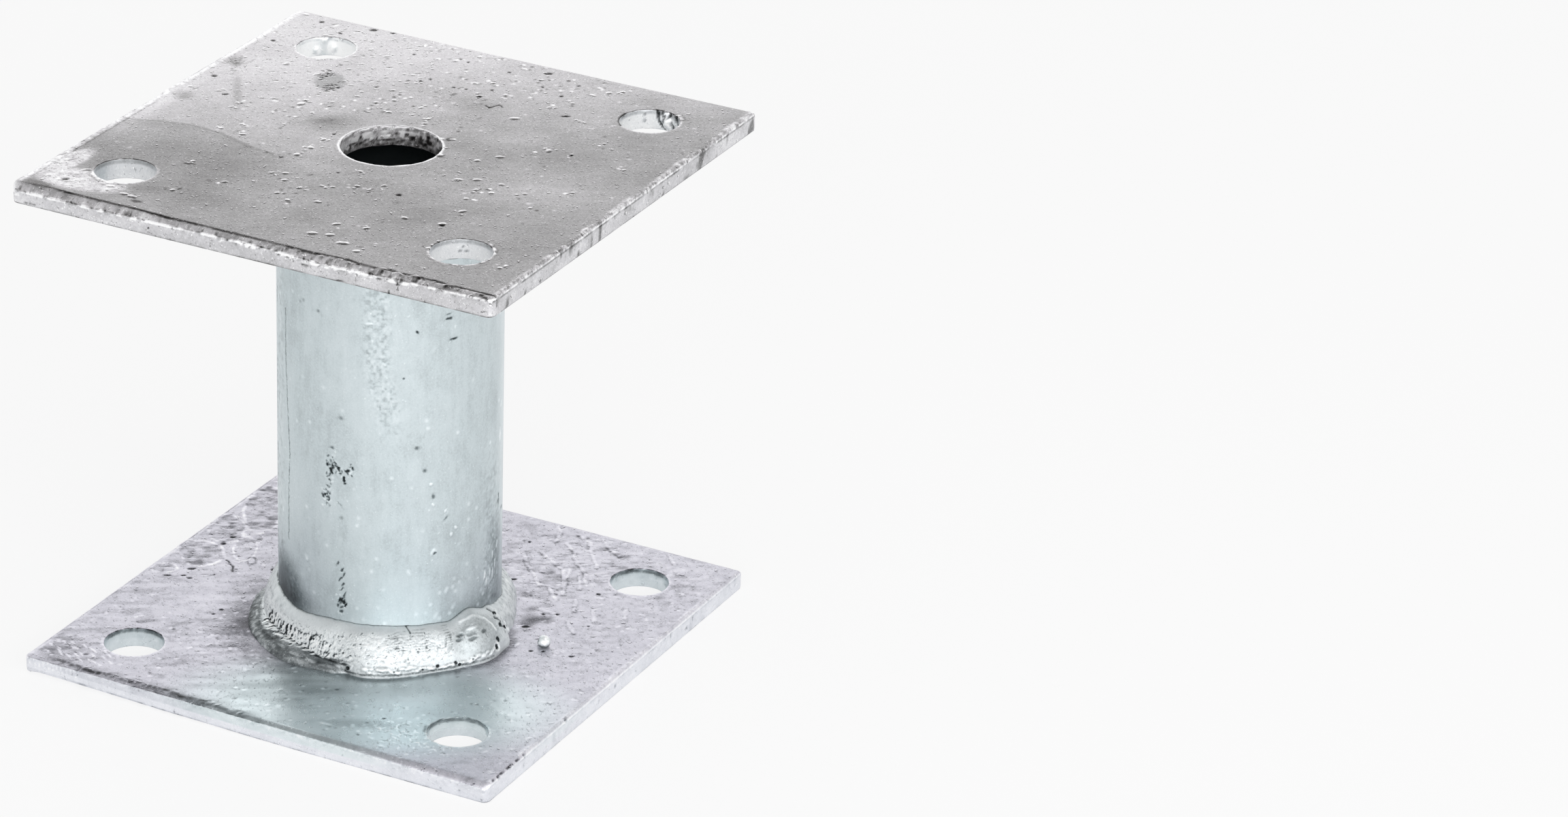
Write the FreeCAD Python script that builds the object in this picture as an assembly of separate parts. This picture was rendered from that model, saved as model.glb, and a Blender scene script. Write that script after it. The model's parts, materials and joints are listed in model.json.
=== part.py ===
# A post anchor: two square steel plates joined by a round tube, welded all round and dipped in zinc.
# Millimetres, +Z up. The origin is the centre of the base plate's underside, and +X and +Y run
# along the plates' sides. Angles round the tube start at +X and turn towards +Y.
import FreeCAD
import Part

import math
import os

OVERALL_HEIGHT = 100.0

PLATE_SIDE = 100.0
PLATE_THICKNESS = 4.0
CORNER_RADIUS = 1.5
# The sides along X are sheared: their upper edge is drawn down a little where the blade came in.
SHEAR_DRAW_WIDTH = 3.0
SHEAR_DRAW_DEPTH = 0.5
# The sides along Y are the flat bar's own rounded edges.
BAR_EDGE_RADIUS = 0.6

BOLT_HOLE_DIAMETER = 11.0
BOLT_HOLE_INSET = 15.0
# It lets zinc and air through the tube, so both plates have one.
CENTRE_HOLE_DIAMETER = 18.5

TUBE_DIAMETER = 42.4
TUBE_WALL = 2.6

# The base weld is a tall cap pass over a low root pass that shows below it.
CAP_HEIGHT = 8.0
CAP_REACH = 5.5
CAP_FULLNESS = 1.45
ROOT_HEIGHT = 2.4
ROOT_REACH = 6.6
ROOT_FULLNESS = 1.8
# The upper weld is one even pass.
TOP_WELD_HEIGHT = 5.0
TOP_WELD_REACH = 5.0
TOP_WELD_FULLNESS = 1.2

# Stations round a bead: an angle, and the height on the tube and the reach over the plate there
# as shares of that pass's own. The cap ends in a lump at -17 degrees and is ragged beyond it.
CAP_STATIONS = (
    (-150, 1.01, 0.55),
    (-115, 0.90, 0.50),
    (-88, 1.01, 0.72),
    (-68, 1.00, 1.14),
    (-40, 0.97, 0.92),
    (-30, 0.93, 0.98),
    (-17, 1.10, 1.14),
    (-2, 0.93, 1.05),
    (12, 0.80, 0.66),
    (30, 0.60, 0.76),
    (58, 0.82, 1.02),
    (95, 0.98, 0.88),
    (130, 0.92, 0.96),
    (175, 1.02, 0.84),
)
# The root pass shows from -160 degrees to its end at -77, and is buried elsewhere.
ROOT_STATIONS = (
    (-160, 0.80, 0.80),
    (-125, 0.95, 0.98),
    (-103, 1.00, 1.09),
    (-84, 0.95, 0.94),
    (-77, 0.80, 0.80),
    (-71, 0.45, 0.40),
    (-40, 0.40, 0.35),
    (140, 0.40, 0.35),
    (170, 0.45, 0.40),
)
TOP_STATIONS = (
    (-150, 1.04, 0.98),
    (-80, 0.94, 1.04),
    (-20, 1.02, 0.94),
    (45, 0.96, 1.02),
    (110, 1.05, 0.96),
    (160, 0.92, 0.94),
)

# One ball of weld spatter stuck to the base plate: its angle, its distance from the tube's wall,
# its diameter and the share of its radius that is sunk in.
SPATTER_ANGLE = 4.3
SPATTER_DISTANCE = 11.0
SPATTER_DIAMETER = 2.6
SPATTER_SUNK_SHARE = 0.4

# How finely a bead follows its stations: sections round the tube, and points over its skin.
BEAD_SECTIONS = 90
SKIN_POINTS = 7
# How far a bead's closed form runs on past the wall and the plate, which then trim it.
BEAD_OVERRUN = 1.0
# A trimming solid runs this far past what it trims.
CUT_MARGIN = 10.0

PLATE_HALF = PLATE_SIDE / 2
TUBE_RADIUS = TUBE_DIAMETER / 2
TUBE_BORE_RADIUS = TUBE_RADIUS - TUBE_WALL
BASE_TOP = PLATE_THICKNESS
TOP_UNDERSIDE = OVERALL_HEIGHT - PLATE_THICKNESS


def sheared_section():
    """The plate's outline across its sheared sides, on Y and Z, with both upper edges drawn down."""
    corners = []
    for side in (-1, 1):
        foot = FreeCAD.Vector(0, side * PLATE_HALF, 0)
        shoulder = FreeCAD.Vector(0, side * PLATE_HALF, PLATE_THICKNESS - SHEAR_DRAW_DEPTH)
        level = FreeCAD.Vector(0, side * (PLATE_HALF - SHEAR_DRAW_WIDTH), PLATE_THICKNESS)
        pull = FreeCAD.Vector(0, side * (PLATE_HALF - SHEAR_DRAW_WIDTH / 3), PLATE_THICKNESS)
        draw = Part.BezierCurve()
        draw.setPoles([shoulder, pull, level])
        corners.append((foot, shoulder, level, draw.toShape()))
    (foot_a, shoulder_a, level_a, draw_a), (foot_b, shoulder_b, level_b, draw_b) = corners
    edges = [
        Part.makeLine(foot_a, foot_b),
        Part.makeLine(foot_b, shoulder_b),
        draw_b,
        Part.makeLine(level_b, level_a),
        draw_a,
        Part.makeLine(shoulder_a, foot_a),
    ]
    return Part.Face(Part.Wire(edges))


def rounded_outline():
    """A prism with the plate's plan, its upright corners rounded."""
    start = FreeCAD.Vector(-PLATE_HALF, -PLATE_HALF, 0)
    block = Part.makeBox(PLATE_SIDE, PLATE_SIDE, PLATE_THICKNESS, start)
    upright = [e for e in block.Edges if abs(e.Vertexes[0].Z - e.Vertexes[1].Z) > PLATE_THICKNESS / 2]
    return block.makeFillet(CORNER_RADIUS, upright)


def rounded_bar():
    """The flat bar that the plate is cut from: its long edges, along Y, are rounded."""
    start = FreeCAD.Vector(-PLATE_HALF, -PLATE_HALF, 0)
    block = Part.makeBox(PLATE_SIDE, PLATE_SIDE, PLATE_THICKNESS, start)
    long_edges = []
    for edge in block.Edges:
        first, last = edge.Vertexes
        at_side = abs(abs(first.X) - PLATE_HALF) < 1e-6
        if at_side and abs(first.Y - last.Y) > PLATE_HALF:
            long_edges.append(edge)
    return block.makeFillet(BAR_EDGE_RADIUS, long_edges)


def drill(diameter, x, y):
    """A cutter for a round hole through a plate that lies on z = 0."""
    start = FreeCAD.Vector(x, y, -CUT_MARGIN)
    return Part.makeCylinder(diameter / 2, PLATE_THICKNESS + 2 * CUT_MARGIN, start)


def plate(underside):
    """A square plate with four bolt holes and a centre hole, its underside at the height given."""
    run = FreeCAD.Vector(PLATE_SIDE, 0, 0)
    section = sheared_section()
    section.translate(FreeCAD.Vector(-PLATE_HALF, 0, 0))
    solid = section.extrude(run).common(rounded_outline()).common(rounded_bar())
    offset = PLATE_HALF - BOLT_HOLE_INSET
    for x in (-offset, offset):
        for y in (-offset, offset):
            solid = solid.cut(drill(BOLT_HOLE_DIAMETER, x, y))
    solid = solid.cut(drill(CENTRE_HOLE_DIAMETER, 0, 0))
    solid.translate(FreeCAD.Vector(0, 0, underside))
    return solid


def tube():
    """The round tube, cut square, from the base plate to the top plate."""
    start = FreeCAD.Vector(0, 0, BASE_TOP)
    length = TOP_UNDERSIDE - BASE_TOP
    outside = Part.makeCylinder(TUBE_RADIUS, length, start)
    return outside.cut(Part.makeCylinder(TUBE_BORE_RADIUS, length, start))


def station_shares(stations, angle):
    """The height and reach shares at an angle, eased between the stations on either side of it."""
    around = [*stations, (stations[0][0] + 360, *stations[0][1:])]
    if angle < around[0][0]:
        angle += 360
    for (a, *low), (b, *high) in zip(around, around[1:]):
        if a <= angle <= b:
            ease = (1 - math.cos(math.pi * (angle - a) / (b - a))) / 2
            return [one + (other - one) * ease for one, other in zip(low, high)]
    raise ValueError(f"no station beside {angle} degrees")


def pass_distance(height, reach, fullness, slope):
    """How far a pass stands out from the corner of wall and plate, at a slope above the plate."""
    along = max(math.cos(slope), 0.0) / reach
    upward = math.sin(slope) / height
    return (along**fullness + upward**fullness) ** (-1 / fullness)


def bead_section(passes, angle):
    """The closed outline of a weld at an angle round the tube: the outmost of its passes' skins,
    run on past the wall and the plate."""
    sized = []
    for stations, height, reach, fullness in passes:
        height_share, reach_share = station_shares(stations, angle)
        sized.append((height * height_share, reach * reach_share, fullness))
    turn = math.radians(angle)

    def place(out, up):
        radius = TUBE_RADIUS + out
        return FreeCAD.Vector(radius * math.cos(turn), radius * math.sin(turn), up)

    points = []
    for i in range(SKIN_POINTS):
        slope = math.pi / 2 * i / (SKIN_POINTS - 1)
        outmost = max(pass_distance(*one, slope) for one in sized)
        points.append((outmost * math.cos(slope), outmost * math.sin(slope)))
    skin = Part.BSplineCurve()
    skin.interpolate([place(*point) for point in points])
    foot = place(points[0][0], -BEAD_OVERRUN)
    corner = place(-BEAD_OVERRUN, -BEAD_OVERRUN)
    crown = place(-BEAD_OVERRUN, points[-1][1])
    edges = [
        Part.makeLine(corner, foot),
        Part.makeLine(foot, place(*points[0])),
        skin.toShape(),
        Part.makeLine(place(*points[-1]), crown),
        Part.makeLine(crown, corner),
    ]
    return Part.Wire(edges)


def bead(passes):
    """The weld's metal in the corner between the tube and a plate whose face is z = 0: a closed
    loft through sections all round the tube, straight from each to the next."""
    sections = [bead_section(passes, -180 + 360 * i / BEAD_SECTIONS) for i in range(BEAD_SECTIONS)]
    solid = True
    ruled = True
    closed = True
    return trimmed(Part.makeLoft(sections, solid, ruled, closed))


def trimmed(ring):
    """A bead cut back to its seats: the tube's wall and the plate's face at z = 0."""
    box = ring.BoundBox
    span = 2 * box.DiagonalLength
    ground = Part.makeBox(span, span, span, FreeCAD.Vector(-span / 2, -span / 2, -span))
    core = Part.makeCylinder(TUBE_RADIUS, 2 * span, FreeCAD.Vector(0, 0, -span))
    return ring.cut(ground).cut(core)


def base_weld():
    """The two passes at the tube's foot, seated on the base plate."""
    cap = (CAP_STATIONS, CAP_HEIGHT, CAP_REACH, CAP_FULLNESS)
    root = (ROOT_STATIONS, ROOT_HEIGHT, ROOT_REACH, ROOT_FULLNESS)
    weld = bead([cap, root])
    weld.translate(FreeCAD.Vector(0, 0, BASE_TOP))
    return weld


def top_weld():
    """The pass at the tube's head, seated on the top plate's underside."""
    weld = bead([(TOP_STATIONS, TOP_WELD_HEIGHT, TOP_WELD_REACH, TOP_WELD_FULLNESS)])
    weld = weld.mirror(FreeCAD.Vector(0, 0, 0), FreeCAD.Vector(0, 0, 1))
    weld.translate(FreeCAD.Vector(0, 0, TOP_UNDERSIDE))
    return weld


def weld_spatter():
    """The ball of spatter, cut flat where it is stuck to the base plate."""
    radius = SPATTER_DIAMETER / 2
    reach = TUBE_RADIUS + SPATTER_DISTANCE
    turn = math.radians(SPATTER_ANGLE)
    middle = FreeCAD.Vector(reach * math.cos(turn), reach * math.sin(turn), 0)
    middle.z = BASE_TOP + radius * (1 - SPATTER_SUNK_SHARE)
    ball = Part.makeSphere(radius, middle)
    start = FreeCAD.Vector(middle.x - radius, middle.y - radius, BASE_TOP)
    return ball.common(Part.makeBox(2 * radius, 2 * radius, 2 * radius, start))


def single(shape):
    """The one solid that a shape holds."""
    if len(shape.Solids) != 1:
        raise ValueError(f"{len(shape.Solids)} solids where one is due")
    return shape.Solids[0]


def main():
    os.makedirs("parts", exist_ok=True)
    nodes = {
        "base_plate": plate(0),
        "tube": tube(),
        "top_plate": plate(TOP_UNDERSIDE),
        "base_weld": base_weld(),
        "top_weld": top_weld(),
        "weld_spatter": weld_spatter(),
    }
    for name, shape in nodes.items():
        solid = single(shape)
        solid.exportStep(f"parts/{name}.step")
        print(f"{name}: {solid.Volume:.1f} mm3, valid {solid.isValid()}")


main()
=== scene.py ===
import itertools
import json
import math

import bpy
import numpy as np
from mathutils import Matrix, Vector
from mathutils.geometry import delaunay_2d_cdt


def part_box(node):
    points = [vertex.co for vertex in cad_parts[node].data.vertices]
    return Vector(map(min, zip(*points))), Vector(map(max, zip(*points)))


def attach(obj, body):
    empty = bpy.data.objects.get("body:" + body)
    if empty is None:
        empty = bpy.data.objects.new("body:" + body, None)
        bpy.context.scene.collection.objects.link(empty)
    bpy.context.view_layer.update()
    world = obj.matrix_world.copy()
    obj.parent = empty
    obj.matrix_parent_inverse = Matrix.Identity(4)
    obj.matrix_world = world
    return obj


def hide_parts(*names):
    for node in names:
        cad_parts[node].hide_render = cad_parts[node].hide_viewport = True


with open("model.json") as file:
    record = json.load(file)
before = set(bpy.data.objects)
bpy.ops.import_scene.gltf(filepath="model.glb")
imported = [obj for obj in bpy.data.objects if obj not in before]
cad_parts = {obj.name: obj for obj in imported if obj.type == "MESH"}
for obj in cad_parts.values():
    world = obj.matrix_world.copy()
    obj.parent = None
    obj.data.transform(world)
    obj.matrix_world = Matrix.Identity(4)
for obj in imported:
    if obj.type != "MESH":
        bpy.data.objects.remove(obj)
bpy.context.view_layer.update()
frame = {"record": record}

MM = 0.001

# Sizes read from the frame
MOUNTS = {mount["name"]: mount for mount in frame["record"]["mounts"]}
BASE_LOW, BASE_HIGH = (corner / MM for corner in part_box("base_plate"))
TOP_LOW, TOP_HIGH = (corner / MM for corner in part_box("top_plate"))
SPATTER_LOW, SPATTER_HIGH = (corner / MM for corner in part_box("weld_spatter"))
PLATE_HALF = BASE_HIGH.x
PLATE_THICKNESS = BASE_HIGH.z - BASE_LOW.z
BASE_TOP = BASE_HIGH.z
TOP_UNDERSIDE = TOP_LOW.z
TOP_FACE = TOP_HIGH.z
TUBE_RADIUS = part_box("tube")[1].x / MM
BOLT_RADIUS = MOUNTS["top_bolts"]["dims"]["hole_r_mm"]
BOLT_OFFSET = MOUNTS["top_bolts"]["dims"]["spacing_x_mm"] / 2
CENTRE_RADIUS = MOUNTS["top_centre_hole"]["dims"]["r_mm"]
# The bolt holes' middles, by the corner of the picture that each is nearest
LEFT, BACK, FRONT, RIGHT = itertools.product((-BOLT_OFFSET, BOLT_OFFSET), repeat=2)
HOLES = [(x, y, BOLT_RADIUS) for x, y in (LEFT, BACK, FRONT, RIGHT)] + [(0.0, 0.0, CENTRE_RADIUS)]

TUBE_WALL = 2.6
CORNER_RADIUS = 1.5

# How far the even zinc lies below the part's own faces, so that its lumps stay within them
FACE_SKIN = 0.12
TUBE_SKIN = 0.05

# The camera
IMAGE_WIDTH = 2304
SENSOR_WIDTH = 36.0
FOCAL_PIXELS = 8618.2
CAMERA_AZIMUTH = 26.270
CAMERA_ELEVATION = 25.283
CAMERA_ROLL = 1.928
CAMERA_PLACE = (504.78, -856.42, 517.60)
# The way across the top plate that runs level in the picture
LEVEL = 32.0
# The way that runs down the picture there
DOWN = np.array([math.sin(math.radians(LEVEL)), -math.cos(math.radians(LEVEL)), 0.0])


# Random values over space

TABLE_SIZE = 4096
LATTICE_STEPS = np.array((73856093, 19349663, 83492791))


def noise(points, cell, seed=0):
    """Smooth noise from -1 to 1 at points (n, 3), which changes over about a cell's length."""
    table = np.random.default_rng(seed).uniform(-1, 1, TABLE_SIZE)
    scaled = np.asarray(points, float) / cell
    low = np.floor(scaled).astype(np.int64)
    part = scaled - low
    part = part * part * (3 - 2 * part)
    total = np.zeros(len(scaled))
    for corner in itertools.product((0, 1), repeat=3):
        weight = np.where(corner, part, 1 - part).prod(axis=1)
        key = ((low + corner) * LATTICE_STEPS).sum(axis=1) % TABLE_SIZE
        total += weight * table[key]
    return total


def layered(points, cell, seed=0, layers=3, fade=0.5):
    """Noise with finer and fainter layers on it."""
    total = sum(noise(points, np.asarray(cell) / 2**i, seed + i) * fade**i for i in range(layers))
    return total / sum(fade**i for i in range(layers))


def cells(flat, size, seed):
    """Random cells over points (n, 2): how far each point is from its cell's border, in cells,
    and its cell's own number from 0 to 1."""
    rng = np.random.default_rng(seed)
    shift = rng.uniform(0, 1, (TABLE_SIZE, 2))
    value = rng.uniform(0, 1, TABLE_SIZE)
    scaled = flat / np.asarray(size)
    low = np.floor(scaled).astype(np.int64)
    first = np.full(len(flat), np.inf)
    second = first.copy()
    own = np.zeros(len(flat))
    for step in itertools.product((-1, 0, 1), repeat=2):
        corner = low + step
        key = (corner * LATTICE_STEPS[:2]).sum(axis=1) % TABLE_SIZE
        far = np.linalg.norm(scaled - corner - shift[key], axis=1)
        nearer = far < first
        second = np.where(nearer, first, np.minimum(second, far))
        own = np.where(nearer, value[key], own)
        first = np.minimum(first, far)
    return second - first, own


def smooth(value, low, high):
    """0 below low, 1 above high, and eased between them. With low above high it falls."""
    share = np.clip((value - low) / (high - low), 0, 1)
    return share * share * (3 - 2 * share)


def turned(flat, angle):
    """Points (n, 2) measured along an angle in degrees and across it."""
    turn = math.radians(angle)
    along = flat[:, 0] * math.cos(turn) + flat[:, 1] * math.sin(turn)
    across = flat[:, 1] * math.cos(turn) - flat[:, 0] * math.sin(turn)
    return np.column_stack([along, across])


def run_distance(points, places):
    """How far points are from a run of places."""
    far = np.full(len(points), np.inf)
    for start, end in zip(places, places[1:]):
        way = end - start
        share = np.clip((points - start) @ way / (way @ way), 0, 1)
        far = np.minimum(far, np.linalg.norm(points - start - share[:, None] * way, axis=1))
    return far


# The zinc on a surface

class Skin:
    """What the zinc does at each of a surface's points: lift is how far it stands out in
    millimetres, tone how much lighter it is, and sheen how smooth, from 0 to 1."""

    def __init__(self, points, seed, ragged=0.16):
        self.order = np.argsort(points[:, 0])
        self.sorted = points[self.order, 0]
        self.points = points
        waver = [noise(points, 0.6, seed + i) for i in range(3)]
        self.bent = points + ragged * np.column_stack(waver)
        self.lift = np.zeros(len(points))
        self.tone = np.zeros(len(points))
        self.sheen = np.zeros(len(points))

    def near(self, low, high):
        """The numbers of the points between two values of x."""
        first, last = np.searchsorted(self.sorted, (low, high))
        return self.order[first:last]

    def share(self, near, place, length, width, tall, angle):
        """How far points are from an oval's middle, where 1 is its border."""
        away = self.bent[near] - np.asarray(place, float)
        flat = turned(away[:, :2], angle)
        return np.sqrt(
            (2 * flat[:, 0] / length) ** 2 + (2 * flat[:, 1] / width) ** 2 + (2 * away[:, 2] / tall) ** 2
        )

    def spot(
        self, place, length, width=None, angle=0.0, tall=None, lift=0.0, tone=0.0, foot=0.0, sheen=0.0,
        soft=0.6
    ):
        """An oval mark, with painted shade round its foot."""
        width = width or length
        tall = tall or width
        reach = max(length, width)
        near = self.near(place[0] - reach, place[0] + reach)
        far = self.share(near, place, length, width, tall, angle)
        core = smooth(far, 1.0, 1.0 - soft)
        self.lift[near] += lift * core
        # The foot ring is painted shade
        self.tone[near] += tone * core - foot * smooth(far, 1.6, 1.05) * (1 - core)
        self.sheen[near] += sheen * core

    def drop(self, place, length, width, angle=LEVEL, lift=0.1, light=0.5, dark=0.5):
        """A ragged drop, with a painted highlight on its far side and painted shade on its near side.
        With less than no lift it is a pit, and its painted shade falls on its far side."""
        reach = 1.3 * max(length, width)
        near = self.near(place[0] - reach, place[0] + reach)
        shift = math.copysign(0.16 * width, lift) * DOWN
        self.lift[near] += lift * smooth(self.share(near, place, length, width, length, angle), 1.0, 0.4)
        # The two sides: painted highlight on the far one, painted shade on the near one
        sides = [
            smooth(self.share(near, place + way, length, width, length, angle), 1.0, 0.4)
            for way in (-shift, shift)
        ]
        step = sides[0] - sides[1]
        self.tone[near] += light * np.maximum(step, 0) - dark * np.maximum(-step, 0)

    def ring(self, place, length, width=None, angle=0.0, tall=None, band=0.3, lift=0.0, tone=0.0):
        """The border of an oval."""
        width = width or length
        near = self.near(place[0] - max(length, width), place[0] + max(length, width))
        far = self.share(near, place, length, width, tall or width, angle)
        core = smooth(np.abs(far - 1), band, 0)
        self.lift[near] += lift * core
        self.tone[near] += tone * core

    def line(self, places, width, lift=0.0, tone=0.0, soft=0.7):
        """A mark along a run of places."""
        places = np.asarray(places, float)
        near = self.near(places[:, 0].min() - width, places[:, 0].max() + width)
        core = smooth(2 * run_distance(self.bent[near], places) / width, 1.0, 1.0 - soft)
        self.lift[near] += lift * core
        self.tone[near] += tone * core


# Meshes

def make_piece(name, points, faces, material, node, skin=None):
    """A shown piece that stands for a CAD node."""
    mesh = bpy.data.meshes.new(name)
    mesh.from_pydata((points * MM).tolist(), [], faces)
    mesh.polygons.foreach_set("use_smooth", [True] * len(mesh.polygons))
    for layer_name in ("tone", "sheen"):
        layer = mesh.attributes.new(layer_name, "FLOAT", "POINT")
        if skin is not None:
            layer.data.foreach_set("value", getattr(skin, layer_name).astype(np.float32))
    mesh.materials.append(material)
    mesh.update()
    piece = bpy.data.objects.new(name, mesh)
    bpy.context.collection.objects.link(piece)
    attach(piece, "root")
    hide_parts(node)
    return piece


def grid_faces(rows, columns, start=0):
    """Quads between rows of a grid whose columns run round and close."""
    faces = []
    for i in range(rows - 1):
        a = start + i * columns
        b = a + columns
        faces += [(a + j, a + (j + 1) % columns, b + (j + 1) % columns, b + j) for j in range(columns)]
    return faces


def hexes(low, high, spacing):
    """Evenly spread points over a rectangle."""
    ys = np.arange(low[1], high[1], spacing * math.sqrt(3) / 2)
    xs = np.arange(low[0], high[0], spacing)
    x, y = np.meshgrid(xs, ys)
    x = x + (np.arange(len(ys)) % 2 * spacing / 2)[:, None]
    points = np.column_stack([x.ravel(), y.ravel()])
    return points[points[:, 0] < high[0]]


def spread(low, high, spacing, fine, spots):
    """Points over a rectangle, closer together in the spots (x, y, half length, half width)."""
    low = np.asarray(low, float)
    shape = np.ceil((np.asarray(high) - low) / fine).astype(int) + 1
    close = np.zeros(shape, bool)
    xs = low[0] + fine * np.arange(shape[0])[:, None]
    ys = low[1] + fine * np.arange(shape[1])[None, :]
    for x, y, half_x, half_y in spots:
        close |= ((xs - x) / half_x) ** 2 + ((ys - y) / half_y) ** 2 < 1
    chosen = []
    for points, wanted in ((hexes(low, high, spacing), False), (hexes(low, high, fine), True)):
        key = np.rint((points - low) / fine).astype(int)
        chosen.append(points[close[key[:, 0], key[:, 1]] == wanted])
    return np.concatenate(chosen)


def triangles_over(rims, inside):
    """Triangles over the flat area within closed rims, as numbers of the rims' and inner points."""
    flat = np.concatenate([*rims, inside])
    edges = []
    start = 0
    for rim in rims:
        edges += [(start + i, start + (i + 1) % len(rim)) for i in range(len(rim))]
        start += len(rim)
    result = delaunay_2d_cdt([Vector(p) for p in flat], edges, [], 1, 1e-5, True)
    places = np.array(result[0])
    order = np.array([source[0] for source in result[3]])
    faces = np.array(result[2])
    return order[faces], places[faces].mean(axis=1)


# Plates

FACE_SPACING = 0.6
FINE_SPACING = 0.26
UNDER_SPACING = 1.4
# How closely points follow each side: the two along X are the ones that are seen from near by
SIDE_SPACING = {"+x": 0.32, "+y": 0.7, "-x": 0.55, "-y": 0.3}
HOLE_SPACING = 0.32
SHEARED_ROUND = 0.35
ROLLED_ROUND = 0.8
HOLE_ROUND = 0.35
ARC_STEPS = 4
WALL_STEPS = 8
TURN_STEPS = 8


def outline_loop():
    """Places that the square's rim turns about, the way out from each, and how round it is there."""
    inner = PLATE_HALF - CORNER_RADIUS
    places = []
    outs = []
    rounds = []
    for k, side in enumerate(("+x", "+y", "-x", "-y")):
        start = math.pi / 2 * k
        way = np.array([math.cos(start), math.sin(start)])
        along = np.array([-way[1], way[0]])
        edge_round, next_round = (ROLLED_ROUND, SHEARED_ROUND)[:: 1 if k % 2 == 0 else -1]
        steps = round(2 * inner / SIDE_SPACING[side])
        for i in range(steps):
            places.append(inner * way + along * inner * (2 * i / steps - 1))
            outs.append(way)
            rounds.append(edge_round)
        for i in range(TURN_STEPS):
            turn = start + math.pi / 2 * i / TURN_STEPS
            places.append(inner * way + inner * along)
            outs.append(np.array([math.cos(turn), math.sin(turn)]))
            rounds.append(edge_round + (next_round - edge_round) * i / TURN_STEPS)
    return np.array(places), np.array(outs), CORNER_RADIUS, np.array(rounds)


def hole_loop(x, y, radius):
    """The same for a hole, whose way out of the metal is towards its middle."""
    count = round(2 * math.pi * radius / HOLE_SPACING)
    turns = -2 * math.pi * np.arange(count) / count
    outs = -np.column_stack([np.cos(turns), np.sin(turns)])
    return np.tile([float(x), float(y)], (count, 1)), outs, -radius, np.full(count, HOLE_ROUND)


def rim_rows(loop):
    """Rows of points down a plate's edge from its upper face to its lower, and the ways out."""
    places, outs, radius, rounds = loop
    rows = []
    for i in range(ARC_STEPS):
        turn = math.pi / 2 * i / ARC_STEPS
        rows.append((math.sin(turn) - 1, math.cos(turn) - 1, 1.0, math.cos(turn)))
    for i in range(WALL_STEPS + 1):
        rows.append((0.0, -1.0 + 2 * i / WALL_STEPS, 1 - i / WALL_STEPS, 0.0))
    for i in range(1, ARC_STEPS + 1):
        turn = math.pi / 2 * i / ARC_STEPS
        rows.append((math.cos(turn) - 1, 1 - math.sin(turn), 0.0, -math.sin(turn)))
    points = []
    normals = []
    for out, drop, upper, rise in rows:
        flat = places + outs * (radius + rounds * out)[:, None]
        height = PLATE_THICKNESS * upper + rounds * drop
        if 0 < upper < 1:
            height = rounds + (PLATE_THICKNESS - 2 * rounds) * upper
        points.append(np.column_stack([flat, height]))
        lean = math.sqrt(1 - rise * rise)
        normals.append(np.column_stack([outs * lean, np.full(len(flat), rise)]))
    return points, normals


def plate_form(spots):
    """The closed mesh of a plate lying on z = 0: points, the way out at each, and faces."""
    points = []
    normals = []
    faces = []
    rims = {"top": [], "under": []}
    count = 0
    for loop in [outline_loop(), *(hole_loop(*hole) for hole in HOLES)]:
        rows, ways = rim_rows(loop)
        length = len(rows[0])
        # The rows run downwards, so the faces turn the other way.
        faces += [face[::-1] for face in grid_faces(len(rows), length, count)]
        rims["top"].append((count, rows[0][:, :2]))
        rims["under"].append((count + (len(rows) - 1) * length, rows[-1][:, :2]))
        points += rows
        normals += ways
        count += len(rows) * length
    for side, height, spacing, fine, up in (
        ("top", PLATE_THICKNESS, FACE_SPACING, FINE_SPACING, 1),
        ("under", 0.0, UNDER_SPACING, UNDER_SPACING, -1),
    ):
        limit = PLATE_HALF - ROLLED_ROUND
        inside = spread((-limit, -limit), (limit, limit), spacing, fine, spots if up > 0 else [])
        margin = fine * 0.7
        keep = np.abs(inside[:, 0]) < limit - margin
        keep &= np.abs(inside[:, 1]) < limit - margin
        for x, y, radius in HOLES:
            keep &= np.hypot(inside[:, 0] - x, inside[:, 1] - y) > radius + HOLE_ROUND + margin
        inside = inside[keep]
        ids = np.concatenate([start + np.arange(len(rim)) for start, rim in rims[side]])
        ids = np.concatenate([ids, count + np.arange(len(inside))])
        triangles, middles = triangles_over([rim for _, rim in rims[side]], inside)
        kept = np.ones(len(triangles), bool)
        for x, y, radius in HOLES:
            kept &= np.hypot(middles[:, 0] - x, middles[:, 1] - y) > radius + HOLE_ROUND * 0.5
        triangles = ids[triangles[kept]]
        faces += [tuple(t) if up > 0 else tuple(t[::-1]) for t in triangles.tolist()]
        points.append(np.column_stack([inside, np.full(len(inside), height)]))
        normals.append(np.column_stack([np.zeros((len(inside), 2)), np.full(len(inside), up)]))
        count += len(inside)
    return np.concatenate(points), np.concatenate(normals), faces


def drawn(points, side, stations, width, upper):
    """How far a shear has drawn the upper or lower edge along a side of Y, by where along it.
    The stations are (x, depth)."""
    xs, depths = zip(*stations)
    inset = PLATE_HALF - side * points[:, 1]
    share = np.clip(1 - inset / width, 0, 1) ** 1.2
    height = np.clip(points[:, 2] / PLATE_THICKNESS, 0, 1)
    return np.interp(points[:, 0], xs, depths) * share * (height if upper else 1 - height)


def plate_piece(name, underside, material, node, spots, shape, dress):
    """A plate: shape(points) gives how far its edges are drawn, and dress(skin, normals) its zinc."""
    points, normals, faces = plate_form(spots)
    flat_points = points.copy()
    points[:, 2] += shape(points)
    skin = Skin(flat_points, 7)
    dress(skin, normals)
    lift = np.where(normals[:, 2] < -0.5, 0.0, skin.lift - FACE_SKIN)
    points = points + normals * lift[:, None]
    points[:, :2] = np.clip(points[:, :2], -PLATE_HALF, PLATE_HALF)
    points[:, 2] = np.clip(points[:, 2], 0, PLATE_THICKNESS) + underside
    return make_piece(name, points, faces, material, node, skin)


# Tube

TUBE_SPACING = 0.62
TUBE_FINE = 0.22
# The tube's skin is worked out flat, from this angle round, with heights across
TUBE_SEAM = -243.0


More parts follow.
